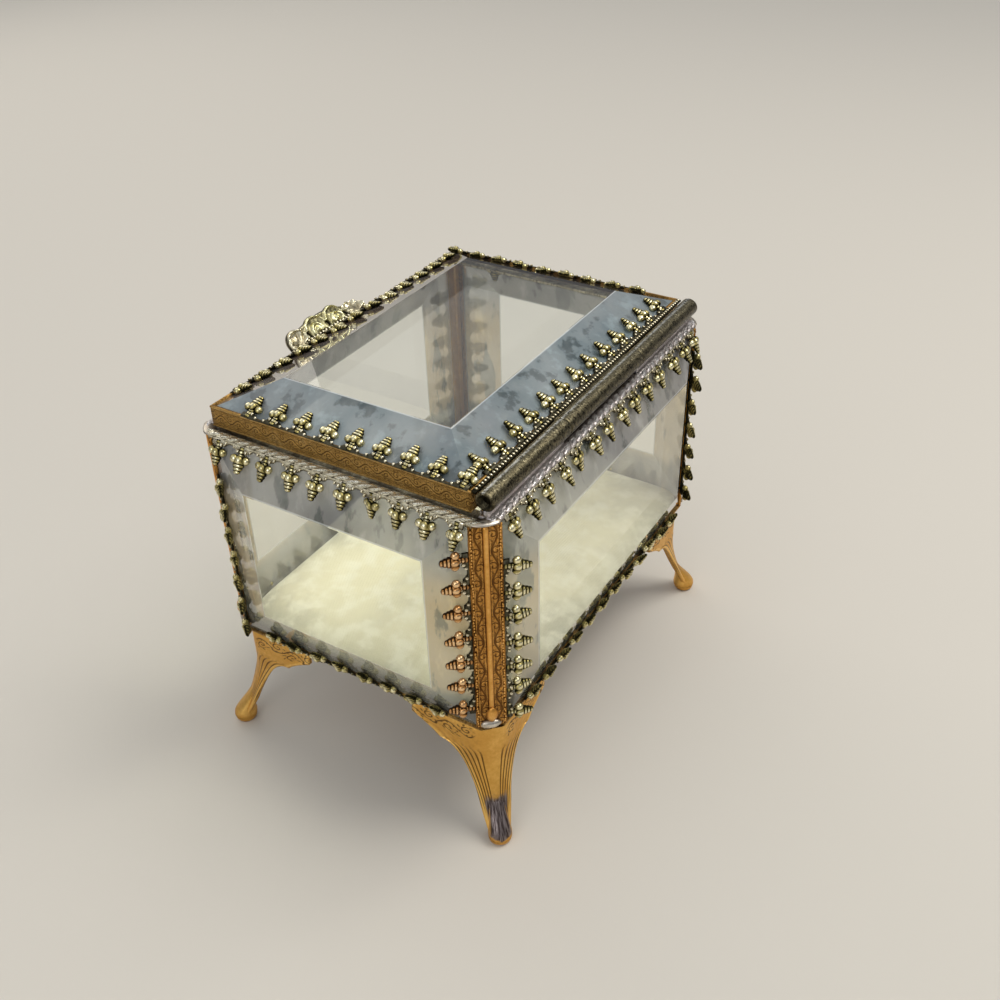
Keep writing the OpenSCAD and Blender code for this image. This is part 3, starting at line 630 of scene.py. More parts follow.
lidSettings = {
    # outline of the band from its lower outer edge round to its hem: depth inwards, height
    "depth": [0.0, 0.0, 0.11, 0.07, 0.07, 0.11, 0.0, 0.0, 0.12, 0.6, 0.6, 1.5, 1.5, 0.6, 0.6, 0.1],
    "height": [76.08, 76.34, 76.46, 76.7, 79.6, 79.86, 79.98, 80.28, 80.4, 80.4, 78.08, 78.08, 77.48, 77.48, 76.0, 76.0],
    "tone": [0.5, 0.9, 0.4, 0.7, 0.7, 0.4, 0.9, 0.8, 0.5, 0.3, 0.5, 0.3, 0.2, 0.2, 0.2, 0.3],
}


def lidSide(points, side):
    y = (case["lidBack"] + case["lidFront"]) / 2
    return toSide(points, side) + np.array([0, y, 0])


def addLidBand(parts, half, out, place, slot):
    # profile ring (d, z) swept along X: x = s (half - d) for the mitre, y = out - d
    d, z = np.array(lidSettings["depth"]), np.array(lidSettings["height"])
    s = np.linspace(-1, 1, 61)
    x = s[:, None] * (half - d)[None, :]
    sway = 0.05 * np.sin(x * 0.35 + out) + 0.03 * np.sin(x * 0.9)
    y = out - d[None, :] - 0.06 + 0.5 * sway
    grid = np.stack([x, y, np.broadcast_to(z[None, :], x.shape)], -1)
    uv = np.stack([x, np.broadcast_to(z[None, :] - case["lidFoot"], x.shape)], -1)
    addGrid(parts, place(grid), uv, np.broadcast_to(lidSettings["tone"], x.shape), slot, wrapV=True, capU=True)


for side in sides:
    long = side in ("back", "front")
    half = case["lidHalfLong"] if long else (case["lidBack"] - case["lidFront"]) / 2
    out = (case["lidBack"] - case["lidFront"]) / 2 if long else case["lidHalfLong"]
    a = math.radians(case["lidSlope"])
    lean = np.array([[1, 0, 0], [0, -math.cos(a), math.sin(a)], [0, math.sin(a), math.cos(a)]])
    lid = newParts()
    addLidBand(lid, half, out, lambda p: lidSide(p, side), 0)
    ends = (6.9, 6.9) if long else (1.9, 7.3)
    addFringe(lid, 2 * half, *ends, lambda p: lidSide(p @ lean.T + np.array([0, out, 80.4]), side), (1, 2, 3),
              seed=31 + sides.index(side), bend=2.0)
    if side == "back":
        # a bead moulding fills the lid's edge up to the hinge tube
        addPlate(lid, (-41.6, 27.4, 79.98), (41.6, 28.45, 80.42), 0.25, 2, 0.12)
        spots = np.arange(-41.0, 41.1, 0.93)
        bead, uv, beadTone = roundPart(0, -0.36, 0.36, 0, 0.36, 0.34, lambda q: np.sqrt(np.maximum(0.08, 1 - (2 * q - 1) ** 2)), 5, 7, False)
        spots = np.stack([spots, 0 * spots + 28.02, 0 * spots + 80.45], -1)
        addGrid(lid, bead[None] + spots[:, None, None, :], uv[None], np.clip(beadTone + 0.15, 0, 1)[None], 3, wrapV=True, capU=True)
    makePiece("lidBand_" + side, lid, [metals["band"], metals["finger"], metals["skirtPaintedShade"], metals["bead"]],
              "lid", "lid_band_" + side)
print("lid frame made")


postSettings = {
    # half of the outline across the web, from its edge to the bead: x, y, tone
    "x": [2.97, 2.97, 2.9, 2.74, 2.62, 2.42, 2.28, 2.18, 2.06, 1.5, 0.98, 0.84, 0.70, 0.58],
    "y": [0.0, 0.40, 0.46, 0.46, 0.36, 0.36, 0.5, 0.58, 0.5, 0.54, 0.5, 0.56, 0.58, 0.52],
    "tone": [0.8, 0.3, 0.35, 0.4, 0.28, 0.28, 0.55, 0.95, 0.45, 0.75, 0.45, 0.75, 0.75, 0.1],
    "bead": 0.56, "beadSteps": 9, "dotEvery": 0.66, "dotR": 0.25, "dotX": 2.58,
}


def addPost(parts, place, seed):
    # closed outline across the post, swept up z; the bead is x = r cos t, y = 0.55 + r sin t
    p = postSettings
    t = np.linspace(0, math.pi, p["beadSteps"] + 2)[1:-1]
    x = np.concatenate([p["x"], p["bead"] * np.cos(t), -np.array(p["x"])[::-1]])
    y = np.concatenate([p["y"], 0.52 + p["bead"] * np.sin(t), np.array(p["y"])[::-1]])
    tone = np.concatenate([p["tone"], 0.12 + 0.72 * np.sin(t), np.array(p["tone"])[::-1]])
    z = np.linspace(28.0, 75.0, 96)
    bead = np.zeros(len(x))
    bead[len(p["x"]):len(p["x"]) + len(t)] = 1
    dent = 0.05 * wobble(z, 0 * z, 0 * z, 0.5, seed)
    grid = np.stack([
        np.broadcast_to(x[None, :], (len(z), len(x))) + 0.4 * dent[:, None] * bead[None, :],
        y[None, :] + dent[:, None] * bead[None, :],
        np.broadcast_to(z[:, None], (len(z), len(x)))], -1)
    uv = np.stack([grid[..., 2], np.broadcast_to(2.97 - np.abs(x)[None, :] - 0.2, grid.shape[:2])], -1)
    plain = np.zeros(len(x), int)
    plain[len(p["x"]) - 1:len(p["x"]) + len(t)] = 1
    plain[-1] = 1
    plain[:5] = plain[-6:-1] = 1
    addGrid(parts, place(grid), uv, np.broadcast_to(tone, grid.shape[:2]), plain, wrapV=True, capU=True)
    rng = np.random.default_rng(seed + 90)
    dots = np.arange(28.6, 74.8, p["dotEvery"])
    dots = np.concatenate([np.stack([0 * dots + side * p["dotX"], 0 * dots + 0.42, dots], -1) for side in (-1, 1)])
    dots = dots + rng.normal(0, 0.07, dots.shape)
    r = p["dotR"]
    dot, uv, tone = roundPart(0, -r, r, 0, r, 0.9 * r, lambda q: np.sqrt(np.maximum(0.08, 1 - (2 * q - 1) ** 2)), 5, 7, False)
    dot = dot[..., [0, 2, 1]]
    addGrid(parts, place(dot[None] + dots[:, None, None, :]), uv[None], np.clip(0.8 * tone + 0.1, 0, 1)[None], 1, wrapV=True, capU=True)


def addLump(parts, middle, size, place, slot, seed):
    # uneven drop of solder: an ellipsoid x = a sin t cos p, y = b sin t sin p, z = c cos t, with
    # each radius times 1 + 0.14 wobble
    t = np.linspace(0.06, math.pi - 0.06, 14)[:, None]
    p = np.linspace(0, 2 * math.pi, 20, endpoint=False)[None, :]
    unit = np.stack([np.sin(t) * np.cos(p), np.sin(t) * np.sin(p), np.cos(t) + 0 * p], -1)
    swell = 1 + 0.14 * wobble(unit[..., 0], unit[..., 1], unit[..., 2], 2.2, seed)
    grid = unit * swell[..., None] * np.array(size) + np.array(middle)
    # tone is painted light: lighter on the outward half, painted shade on the half toward the post
    addGrid(parts, place(grid), grid[..., [2, 0]], np.clip(0.4 + 0.5 * unit[..., 1], 0, 1), slot, wrapV=True, capU=True)


for name, sx, sy in corners:
    post = newParts()
    addPost(post, lambda p: toCorner(p, sx, sy), corners.index((name, sx, sy)))

    def onEdge(p, m):
        moved = np.stack([2.92 + p[..., 1], 0.34 + p[..., 2], 51.5 + p[..., 0]], -1)
        return toCorner(moved * np.array([-1, 1, 1]) if m else moved, sx, sy)

    addFringe(post, 47, 5.4, 6.4, lambda p: onEdge(p, 0), (3, 4, 5), seed=41 + int(sx + 3 * sy), bend=3.0)
    addFringe(post, 47, 2.6, 9.2, lambda p: onEdge(p, 1), (2, 4, 5), seed=51 + int(sx + 3 * sy), bend=3.0)
    k = corners.index((name, sx, sy))
    addLump(post, (0.1, 1.05, 31.8), (1.05, 0.75, 1.9), lambda p: toCorner(p, sx, sy), 1, 70 + k)
    addLump(post, (0.2, 0.75, 29.0), (2.1, 0.80, 0.95), lambda p: toCorner(p, sx, sy), 6, 80 + k)
    addLump(post, (0.0, 0.1, 75.55), (2.7, 1.25, 0.42), lambda p: toCorner(p, sx, sy), 6, 110 + k)
    warm = metals["fingerCopper"] if name == "back_right" else metals["finger"]
    makePiece("post_" + name, post, [
        metals["post"], metals["postBead"], metals["finger"], warm, metals["skirtPaintedShade"], metals["bead"], metals["solder"]],
        "case", "post_" + name)
print("posts made")


footSettings = {
    "half": 2.97, "wing": 15.0, "splay": 4.4, "toeBack": 1.0, "splayZ": 18.0, "ankleZ": 7.5, "ankleS": 1.0, "taper": 1.5, "notchZ": 20.4,
    "notchS": 9.0, "tipZ": 24.2, "thick": 0.9, "low": 2.1, "top": 27.4,
}


def footLevels(z):
    # the CAD outline: half width h(z), wing reach s(z) and swing o(z) of the leg
    f = footSettings
    h = f["half"] - f["taper"] * np.maximum(0, 1 - z / f["splayZ"]) ** 2
    low = 0.6 + (f["ankleS"] - 0.6) * (z / f["ankleZ"]) ** 1.5
    part = np.clip((z - f["ankleZ"]) / (f["notchZ"] - f["ankleZ"]), 0, 1)
    middle = f["ankleS"] + (f["notchS"] - f["ankleS"]) * (1 - np.sqrt(1 - part ** 2))
    tip = np.clip((z - f["notchZ"]) / (f["tipZ"] - f["notchZ"]), 0, 1)
    high = f["notchS"] + (f["wing"] - f["notchS"]) * tip ** 1.3
    s = np.where(z < f["ankleZ"], low, np.where(z < f["notchZ"], middle, high))
    out = np.where(z >= f["splayZ"], 0, (f["splay"] + f["toeBack"]) * (np.maximum(0, f["splayZ"] - z) / (f["splayZ"] - f["low"])) ** 1.6)
    return h, s, out - 0.5


def addFoot(parts, place):
    # Outside: x runs from -(h + s/sqrt2) to (h + s/sqrt2), y = o - softplus(|x| - h) + relief, where
    # softplus rounds the fold between front and wing. The relief has raised rims and flutes that
    # converge on the ankle. The inside is the same outline, thick mm further in.
    f = footSettings
    z = np.concatenate([
        np.linspace(f["low"], f["ankleZ"], 14)[:-1], f["ankleZ"] + (f["notchZ"] - f["ankleZ"]) * np.sin(np.linspace(0, math.pi / 2, 22)),
        np.linspace(f["notchZ"], f["tipZ"], 12)[1:], [25.8, f["top"]]])
    h, s, o = footLevels(z)
    reach = h + s / math.sqrt(2)
    t = np.sin(np.linspace(-1, 1, 57) * math.pi / 2 * 0.9) / math.sin(math.pi / 2 * 0.9)
    x = t[None, :] * reach[:, None]
    r = 0.5
    over = np.abs(x) - h[:, None]
    soft = r * np.log1p(np.exp(np.clip(over / r, -30, 30)))
    edge = 1 - np.abs(t)[None, :]
    width = edge * reach[:, None]
    rim = np.exp(-(width / 0.45 - 0.9) ** 2 * 1.6)
    share = np.clip((z[:, None] - 5) / 6, 0, 1) * np.clip((np.abs(t)[None, :] - 0.16) / 0.1, 0, 1)
    flute = np.cos(np.abs(t)[None, :] * math.pi * 14.0) * share
    relief = 0.17 * rim - 0.05 - 0.05 * flute * (1 - rim)
    y = o[:, None] - soft + 0.22 * np.exp(-(x / h[:, None]) ** 2 * 2) + relief
    outer = np.stack([x, y, np.broadcast_to(z[:, None], x.shape)], -1)
    inX = x * (1 - 0.7 * f["thick"] / reach)[:, None]
    inOver = np.abs(inX) - (h[:, None] - 0.41 * f["thick"])
    inY = o[:, None] - f["thick"] - r * np.log1p(np.exp(np.clip(inOver / r, -30, 30)))
    inner = np.stack([inX, inY, np.broadcast_to(z[:, None], x.shape)], -1)[:, ::-1]
    ring = np.concatenate([outer, inner], 1)
    across = np.concatenate([np.broadcast_to(t, outer.shape[:2]), 0 * inner[..., 0]], 1)
    uv = np.stack([across, ring[..., 2]], -1)
    tone = np.concatenate([np.clip(0.74 + 0.4 * rim + 0 * x, 0, 1.1), np.full(inner.shape[:2], 0.5)], 1)
    addGrid(parts, place(ring), uv, tone, 0, wrapV=True, capU=True)
    # toe: ellipses x = rx cos a, y = cy + ry sin a, one for each level, from the ankle's front to
    # the table, closed by flat ends
    level = np.array([0.0, 0.12, 0.5, 1.3, 2.2, 3.0, 3.9, 4.9, 6.2, 7.6, 9.0])
    wide = np.array([1.75, 2.05, 2.35, 2.5, 2.42, 2.25, 2.1, 1.95, 1.8, 1.7, 1.5])
    deep = np.array([1.6, 1.9, 2.3, 2.58, 2.5, 2.2, 1.8, 1.4, 1.0, 0.7, 0.4])
    middle = np.array([4.4, 4.4, 4.4, 4.4, 4.3, 4.15, 3.85, 3.35, 2.6, 1.85, 1.25])
    a = np.linspace(0, 2 * math.pi, 32, endpoint=False)
    crease = 1 - 0.05 * np.exp(-((level - 1.0) / 0.5) ** 2)
    ringX = (wide * crease)[:, None] * np.cos(a)[None, :]
    ringY = middle[:, None] + (deep * crease)[:, None] * np.sin(a)[None, :]
    toe = np.stack([ringX, ringY, np.broadcast_to(level[:, None], ringX.shape)], -1)
    toeTone = np.broadcast_to(np.interp(level, [0, 0.6, 1.1, 2.0, 9.0], [0.3, 0.95, 0.35, 0.85, 0.8])[:, None], ringX.shape)
    toeUv = np.stack([0.75 * np.cos(a)[None, :] * np.ones_like(ringX), toe[..., 2]], -1)
    addGrid(parts, place(toe), toeUv, toeTone, 0, wrapV=True, capU=True)


footMetal = giltMetal("giltFoot", giltSettings["foot"], engraved=False, flutes=True)
footMetalNear = giltMetal("giltFootNear", giltSettings["foot"], engraved=False, flutes=True, patch={
    "low": (1.6, 2.6), "high": (8.2, 10.2), "side": (0.62, 0.78), "deep": (0.075, 0.055, 0.052), "pale": (0.30, 0.25, 0.24)})
for name, sx, sy in corners:
    foot = newParts()
    addFoot(foot, lambda p: toCorner(p, sx, sy))
    makePiece("foot_" + name, foot, [footMetalNear if name == "back_right" else footMetal], "case", "foot_" + name)
print("feet made")


hingeSettings = {"tube": 1.9, "bore": 1.15, "half": 42.0, "lidHalf": 15.0, "gap": 0.15}


def hingeMetal():
    # dark old brass: olive brown and speckled, turned gold on the upper side of the tube by the painted light of the
    # tone attribute
    material, tree, shader = newMaterial("oldBrass")
    coords = objectCoords(tree)
    broad = noise(tree, coords, 520.0, 4.0, 0.7)
    fine = noise(tree, coords, 2200.0, 3.0, 0.7)
    tone = node(tree, "ShaderNodeAttribute", attribute_name="tone").outputs["Fac"]
    # random wear plus the tone attribute's painted light set the colour
    wearAndShade = calc(tree, "ADD", calc(tree, "MULTIPLY", calc(tree, "SUBTRACT", broad, 0.5), 0.7), calc(tree, "MULTIPLY", calc(tree, "SUBTRACT", fine, 0.5), 2.4))
    wearAndShade = calc(tree, "ADD", wearAndShade, tone)
    colour = blendColour(tree, ramp(tree, wearAndShade, 0.1, 0.7), (0.034, 0.029, 0.017), (0.165, 0.140, 0.082))
    colour = blendColour(tree, ramp(tree, wearAndShade, 0.78, 1.2), colour, (0.60, 0.54, 0.36))
    # v of the tube's UV is the angle round it: a silvery line at one angle round the tube is a painted highlight
    split = node(tree, "ShaderNodeSeparateXYZ")
    plug(tree, split.inputs[0], node(tree, "ShaderNodeUVMap", uv_map="UVMap").outputs["UV"])
    off = calc(tree, "ABSOLUTE", calc(tree, "SUBTRACT", split.outputs["Y"], 1.72))
    paintedHighlight = calc(tree, "MULTIPLY", calc(tree, "SUBTRACT", 1.0, ramp(tree, off, 0.04, 0.24)), ramp(tree, wearAndShade, 0.35, 0.9))
    colour = blendColour(tree, paintedHighlight, colour, (0.78, 0.77, 0.70))
    plug(tree, shader.inputs["Base Color"], colour)
    shader.inputs["Metallic"].default_value = 1.0
    plug(tree, shader.inputs["Roughness"], calc(tree, "ADD", 0.17, calc(tree, "MULTIPLY", fine, 0.25)))
    bump(tree, shader, calc(tree, "ADD", fine, broad), 0.35, 0.0002)
    return material


def addTube(parts, x0, x1, seed):
    # closed ring profile (r, x) turned about the hinge axis, with shallow dents in the wall
    f = hingeSettings
    inner = f["bore"]
    n = 40
    xs = np.concatenate([[x0, x0, x0 + 0.12], np.linspace(x0 + 0.3, x1 - 0.3, n), [x1 - 0.12, x1, x1]])
    rs = np.concatenate([[inner, f["tube"] - 0.12, f["tube"] - 0.02], np.full(n, f["tube"] - 0.01), [f["tube"] - 0.02, f["tube"] - 0.12, inner]])
    a = np.linspace(0, 2 * math.pi, 36, endpoint=False)
    seam = np.exp(-((a - 4.2) / 0.09) ** 2)
    dent = wobble(xs[:, None], np.cos(a)[None, :] * 2, np.sin(a)[None, :] * 2, 0.45, seed)
    r = rs[:, None] - np.where(rs[:, None] > 1.5, 0.06 * np.maximum(0, dent) + 0.09 * seam[None, :], 0)
    grid = np.stack([np.broadcast_to(xs[:, None], r.shape), case["axisY"] + r * np.cos(a), case["axisZ"] + r * np.sin(a)], -1)
    # tone is painted light: lighter on the upper side of the tube, darker below, with a darker seam
    tone = np.where(rs[:, None] > 1.5, 0.42 + 0.33 * np.sin(a - 0.5)[None, :] - 0.5 * seam, 0.0)
    addGrid(parts, grid, np.stack([grid[..., 0], np.broadcast_to(a, r.shape)], -1), tone, 0, wrapU=True, wrapV=True)


brass = hingeMetal()
for name, x0, x1 in (("hinge_knuckle_left", -42.0, -15.15), ("hinge_knuckle_right", 15.15, 42.0)):
    knuckle = newParts()
    addTube(knuckle, x0, x1, 61)
    addPlate(knuckle, (x0, 30.0, 75.6), (x1, 30.6, 77.4), 0.8, 1)
    addPlate(knuckle, (x0, 29.0, 75.6), (x1, 31.6, 75.95), 0.8, 1)
    makePiece("case_" + name, knuckle, [brass, metals["backBand"]], "case", name)
knuckle = newParts()
addTube(knuckle, -15.0, 15.0, 62)
addPlate(knuckle, (-15.0, 27.6, 76.0), (15.0, 28.1, 80.4))
addPlate(knuckle, (-15.0, 27.7, 78.2), (15.0, 28.6, 80.2))
makePiece("lidKnuckle", knuckle, [brass], "lid", "lid_knuckle")
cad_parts["hinge_pin"].data.materials.clear()
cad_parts["hinge_pin"].data.materials.append(brass)
print("hinge made")


tabSettings = {
    "offset": 5.0, "lean": 45.0, "reach": 4.7, "length": 24.5, "thick": 0.9,
    # lobes and holes: place along the crest and height in mm, radius
    "lobes": [(-9.33, 1.22, 2.9), (-3.11, 1.34, 3.34), (3.11, 1.34, 3.34), (9.33, 1.22, 2.9)],
    "holes": [(-6.22, 1.32, 0.78), (0.0, 1.32, 0.78), (6.22, 1.32, 0.78)],
}


def addTab(parts, place):
    # Crest as one relief sheet in (a, q): a across, q up, under the outline of its four lobes.
    # Inner lobes are C scrolls, h = 0.6 exp(-((d - 0.62 r) / 0.5)^2) and a curl in the middle;
    # outer lobes are shells, h = 0.35 + 0.2 cos(9 angle). Holes are sunk to the sheet's back.
    f = tabSettings
    a = np.linspace(-f["length"] / 2 + 0.06, f["length"] / 2 - 0.06, 161)
    top = np.full(a.shape, 0.3)
    for cx, cy, r in f["lobes"]:
        top = np.maximum(top, np.where(np.abs(a - cx) < r, cy + np.sqrt(np.maximum(0, r * r - (a - cx) ** 2)), 0))
    top = np.where(np.abs(a) < 9.4, np.maximum(top, 4.35 - 0.013 * a * a), top)
    q = np.linspace(0, 1, 41)
    aa = np.broadcast_to(a[:, None], (len(a), len(q)))
    qq = q[None, :] * top[:, None]
    high = np.zeros_like(aa)
    for k, (cx, cy, r) in enumerate(f["lobes"]):
        dx, dy = aa - cx, qq - cy
        d = np.sqrt(dx ** 2 + dy ** 2)
        angle = np.arctan2(dy, dx)
        rim = 0.30 * np.exp(-((d - 0.9 * r) / 0.28) ** 2)
        if k in (1, 2):
            turn = angle if k == 1 else math.pi - angle
            path = r * (0.30 + 0.34 * np.mod(turn + 0.6, 2 * math.pi) / (2 * math.pi))
            shape = 0.62 * np.exp(-((d - path) / 0.30) ** 2) + 0.75 * np.exp(-(d / 0.55) ** 2) + rim
        else:
            shape = np.where(d < 0.85 * r, 0.34 + 0.22 * np.cos(9 * np.arctan2(dy + 1.0, dx)), 0) * np.clip(d / r + 0.2, 0, 1) + rim
        high = np.maximum(high, np.where(d < 1.02 * r, shape, 0))
    for cx, cy, r in f["holes"]:
        d = np.sqrt((aa - cx) ** 2 + (qq - cy) ** 2)
        high = np.where(d < r, -0.75, high + 0.25 * np.exp(-((d - r - 0.2) / 0.2) ** 2))
    edge = np.minimum(top[:, None] - qq, 12.25 - np.abs(aa))
    high = high + 0.13 * wobble(aa, qq, 0 * aa, 2.6, 19) + 0.22 * np.exp(-((edge - 0.45) / 0.22) ** 2)
    high = high - 0.3 * np.exp(-(edge / 0.2) ** 2)
    front = np.stack([aa, qq, high - 0.15], -1)
    back = np.stack([aa, qq, np.full(aa.shape, -f["thick"] + 0.05)], -1)[:, ::-1]
    ring = np.concatenate([front, back], 1)
    tone = np.concatenate([np.clip(0.40 + 1.45 * high, -0.2, 1.1), np.full(aa.shape, 0.5)], 1)
    addGrid(parts, place(ring), np.full(ring.shape[:2] + (2,), 0.5), tone, 0, wrapV=True, capU=True)
    # row of beads along the crest's foot
    spots = np.arange(-7.6, 7.7, 0.95)
    bead, uv, beadTone = roundPart(0, -0.4, 0.4, 0, 0.4, 0.4, lambda q: np.sqrt(np.maximum(0.08, 1 - (2 * q - 1) ** 2)), 6, 8, False)
    spots = np.stack([spots, 0 * spots + 0.35, 0 * spots + 0.25], -1)
    addGrid(parts, place(bead[None] + spots[:, None, None, :]), uv[None], beadTone[None], 1, wrapV=True, capU=True)


def leanTab(p):
    # the crest turned up about its foot by lean(a), which falls off where its one end is bent out
    bent = np.clip((-p[..., 0] - 2.5) / 7.0, 0, 1)
    lean = np.radians(tabSettings["lean"] - 30.0 * bent * bent * (3 - 2 * bent) * np.clip(p[..., 1] / 2.5, 0, 1))
    y = -p[..., 1] * np.cos(lean) + p[..., 2] * np.sin(lean)
    z = p[..., 1] * np.sin(lean) + p[..., 2] * np.cos(lean)
    return np.stack([p[..., 0], y, z], -1) + np.array([tabSettings["offset"], -30.05, 80.1])


tab = newParts()
addTab(tab, leanTab)
addPlate(tab, (-3.08, -30.9, 78.0), (13.08, -30.0, 80.3), 0.4, 1)
makePiece("thumbTab", tab, [giltMetal("giltTab", giltSettings["tab"], engraved=False), metals["bead"]], "lid", "thumb_tab")
print("tab made")


padSettings = {"halfX": 42.0, "halfY": 30.0, "foot": 28.8, "rim": 1.9, "crown": 2.75, "corner": 3.2}


def silkMaterial():
    # aged cream satin: close weave, soft grey soil in patches, greyer toward the edges, a slight sheen
    material, tree, shader = newMaterial("silkPad")
    coords = objectCoords(tree)
    soil = noise(tree, coords, 42.0, 5.0, 0.6)
    mottle = noise(tree, coords, 210.0, 4.0, 0.6)
    tone = node(tree, "ShaderNodeAttribute", attribute_name="tone").outputs["Fac"]
    share = calc(tree, "ADD", calc(tree, "MULTIPLY", ramp(tree, soil, 0.40, 0.68), 0.50), calc(tree, "MULTIPLY", calc(tree, "SUBTRACT", 1.0, tone), 0.9), clamp=True)
    colour = blendColour(tree, share, (0.80, 0.745, 0.50), (0.42, 0.41, 0.30))
    colour = blendColour(tree, calc(tree, "MULTIPLY", ramp(tree, mottle, 0.42, 0.66), 0.5), colour, (0.90, 0.88, 0.72))
    plug(tree, shader.inputs["Base Color"], colour)
    shader.inputs["Roughness"].default_value = 0.72
    shader.inputs["Sheen Weight"].default_value = 0.25
    split = node(tree, "ShaderNodeSeparateXYZ")
    plug(tree, split.inputs[0], coords)
    weave = calc(tree, "MULTIPLY", calc(tree, "SINE", calc(tree, "MULTIPLY", split.outputs["X"], 14000.0)), calc(tree, "SINE", calc(tree, "MULTIPLY", split.outputs["Y"], 14000.0)))
    bump(tree, shader, calc(tree, "ADD", calc(tree, "MULTIPLY", weave, 0.12), mottle), 0.5, 0.0007)
    return material


def addPad(parts):
    # Pillow over a rounded rectangle: a point is c (X(t), Y(t)) for the outline (X, Y) and share
    # c from 0 to 1, at z = foot + rim + crown (1 - c^5)^0.6 plus folds that fade to the middle;
    # below the edge the side tucks in to the flat underside.
    f = padSettings
    t = np.linspace(0, 2 * math.pi, 160, endpoint=False)
    power = 0.14
    outX = f["halfX"] * np.sign(np.cos(t)) * np.abs(np.cos(t)) ** power
    outY = f["halfY"] * np.sign(np.sin(t)) * np.abs(np.sin(t)) ** power
    c = np.concatenate([np.sin(np.linspace(0.01, 1, 36) * math.pi / 2), [1.0, 0.985, 0.6, 0.01]])
    level = np.concatenate([
        f["rim"] + f["crown"] * (1 - np.sin(np.linspace(0.01, 1, 36) * math.pi / 2) ** 5) ** 0.6, [0.6, 0.0, 0.0, 0.0]])
    x, y = c[:, None] * outX[None, :], c[:, None] * outY[None, :]
    z = np.broadcast_to(level[:, None], x.shape)
    above = (z > f["rim"] - 0.01) * np.clip(c, 0, 1)[:, None]
    folds = 0.16 * wobble(x, y, 0 * x, 0.22, 7) + 0.07 * wobble(x, y, 0 * x, 0.75, 8) * above ** 3
    z = f["foot"] + z + np.where(above > 0, folds * (1 - 0.5 * above), 0)
    grid = np.stack([x, y, z], -1)
    tone = np.broadcast_to(np.concatenate([1 - 0.8 * np.linspace(0.01, 1, 36) ** 2.3, [0.15, 0.1, 0.1, 0.1]])[:, None], x.shape)
    addGrid(parts, grid, grid[..., :2], tone, 0, wrapV=True, capU=True)


pad = newParts()
addPad(pad)
silk = makePiece("silkCushion", pad, [silkMaterial()], "case", "cushion_pad")
print("pad made")


sideGlass = glassMaterial("sideGlass", glassSettings["side"], False)
lidGlass = glassMaterial("lidGlass", glassSettings["lid"], True)
for name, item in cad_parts.items():
    if name.startswith("glass_") or name == "lid_glass":
        item.data.materials.clear()
        item.data.materials.append(lidGlass if name == "lid_glass" else sideGlass)

base, tree, shader = newMaterial("basePlate")
grain = noise(tree, objectCoords(tree), 300.0, 3.0)
plug(tree, shader.inputs["Base Color"], blendColour(tree, grain, (0.16, 0.10, 0.05), (0.30, 0.20, 0.11)))
shader.inputs["Metallic"].default_value = 0.9
shader.inputs["Roughness"].default_value = 0.5
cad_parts["bottom_plate"].data.materials.clear()
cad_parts["bottom_plate"].data.materials.append(base)
print("glass and base dressed")


floorMaterial, tree, shader = newMaterial("floorPaint")
shader.inputs["Base Color"].default_value = (0.62, 0.58, 0.51, 1)
shader.inputs["Roughness"].default_value = 0.7
floorMesh = bpy.data.meshes.new("floor")
floorMesh.from_pydata([(-4, -4, 0), (4, -4, 0), (4, 4, 0), (-4, 4, 0)], [], [(0, 1, 2, 3)])
floorMesh.materials.append(floorMaterial)
floor = bpy.data.objects.new("floor", floorMesh)
bpy.context.scene.collection.objects.link(floor)

scene = bpy.context.scene
scene.view_settings.view_transform = "Standard"


def areaLight(name, place, target, size, power, colour):
    lamp = bpy.data.lights.new(name, "AREA")
    lamp.shape = "RECTANGLE"
    lamp.size, lamp.size_y = size
    lamp.energy = power
    lamp.color = colour
    made = bpy.data.objects.new(name, lamp)
    made.location = place
    made.rotation_euler = (Vector(target) - Vector(place)).to_track_quat("-Z", "Y").to_euler()
    scene.collection.objects.link(made)
    return made


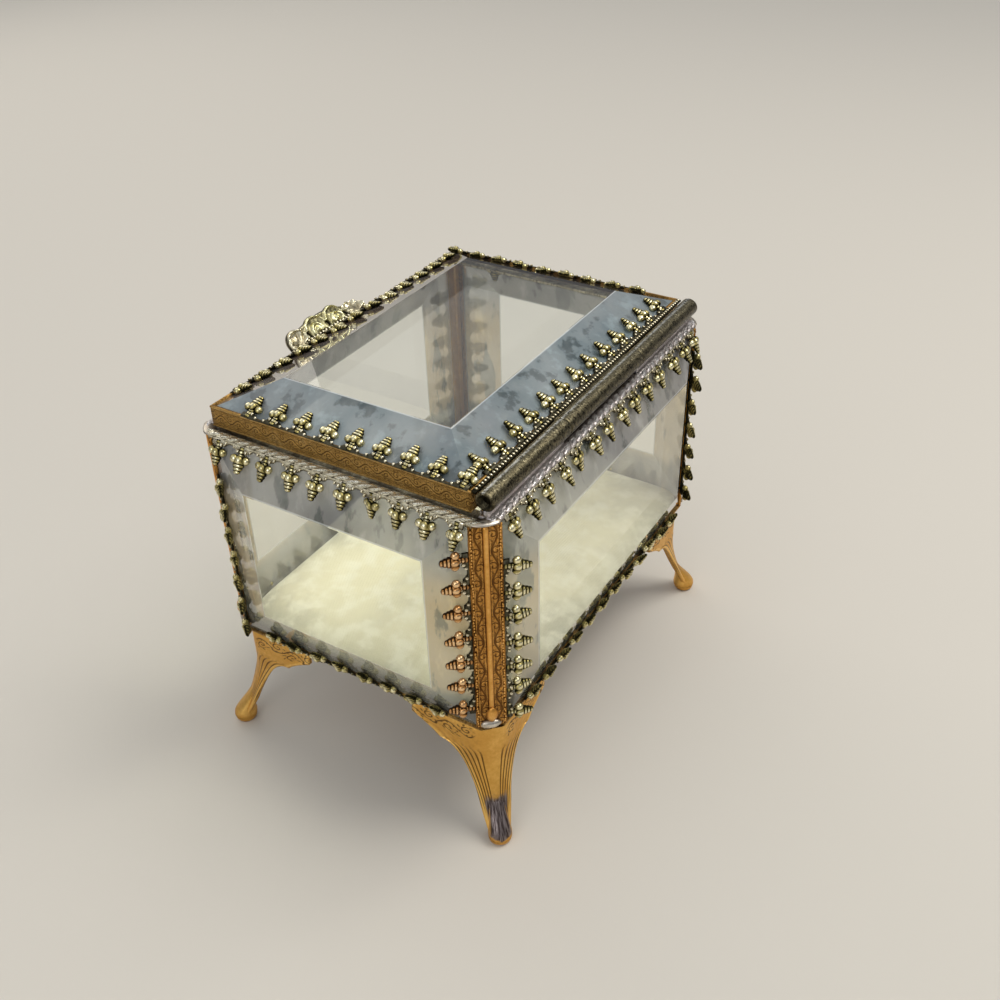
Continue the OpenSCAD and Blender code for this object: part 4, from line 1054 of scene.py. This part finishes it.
areaLight("keyLamp", (-0.25, 0.35, 0.75), (0, 0, 0.04), (0.5, 0.4), 3.6, (1.0, 0.97, 0.92))
areaLight("fillLamp", (0.75, 0.05, 0.40), (0, 0, 0.05), (0.5, 0.5), 1.5, (0.95, 0.97, 1.0))
areaLight("backLamp", (-0.3, -0.7, 0.45), (0, 0, 0.06), (0.6, 0.4), 1.2, (1.0, 0.95, 0.88))

world = bpy.data.worlds.new("studio")
world.use_nodes = True
scene.world = world
tree = world.node_tree
tree.nodes.clear()
path = node(tree, "ShaderNodeLightPath")
dim = node(tree, "ShaderNodeBackground")
way = node(tree, "ShaderNodeSeparateXYZ")
plug(tree, way.inputs[0], node(tree, "ShaderNodeTexCoord").outputs["Generated"])
skyShare = ramp(tree, way.outputs["Z"], 0.15, 0.75)
plug(tree, dim.inputs["Color"], blendColour(tree, skyShare, (0.30, 0.31, 0.33), (1.15, 1.18, 1.22)))
dim.inputs["Strength"].default_value = 0.55
pale = node(tree, "ShaderNodeBackground")
pale.inputs["Color"].default_value = (0.82, 0.82, 0.80, 1)
pale.inputs["Strength"].default_value = 1.0
seen = calc(tree, "MAXIMUM", path.outputs["Is Camera Ray"], path.outputs["Is Transmission Ray"])
mixed = node(tree, "ShaderNodeMixShader")
plug(tree, mixed.inputs[0], seen)
plug(tree, mixed.inputs[1], dim.outputs[0])
plug(tree, mixed.inputs[2], pale.outputs[0])
plug(tree, node(tree, "ShaderNodeOutputWorld").inputs["Surface"], mixed.outputs[0])

view = {"place": (0.1680848, 0.1119335, 0.1855085), "yaw": 3.69914836, "pitch": -0.614041617, "roll": -0.0257400906, "focal": 1.123520}
y, p, r = view["yaw"], view["pitch"], view["roll"]
ahead = Vector((math.cos(p) * math.cos(y), math.cos(p) * math.sin(y), math.sin(p)))
right = Vector((math.sin(y), -math.cos(y), 0))
up = right.cross(ahead)
right, up = math.cos(r) * right + math.sin(r) * up, -math.sin(r) * right + math.cos(r) * up
lens = bpy.data.cameras.new("photoCamera")
lens.sensor_width = 36
lens.lens = 36 * view["focal"]
lens.clip_start = 0.005
camera = bpy.data.objects.new("photoCamera", lens)
camera.matrix_world = Matrix((right, up, -ahead)).transposed().to_4x4()
camera.matrix_world.translation = Vector(view["place"])
scene.collection.objects.link(camera)
scene.camera = camera
print("stage and camera set")
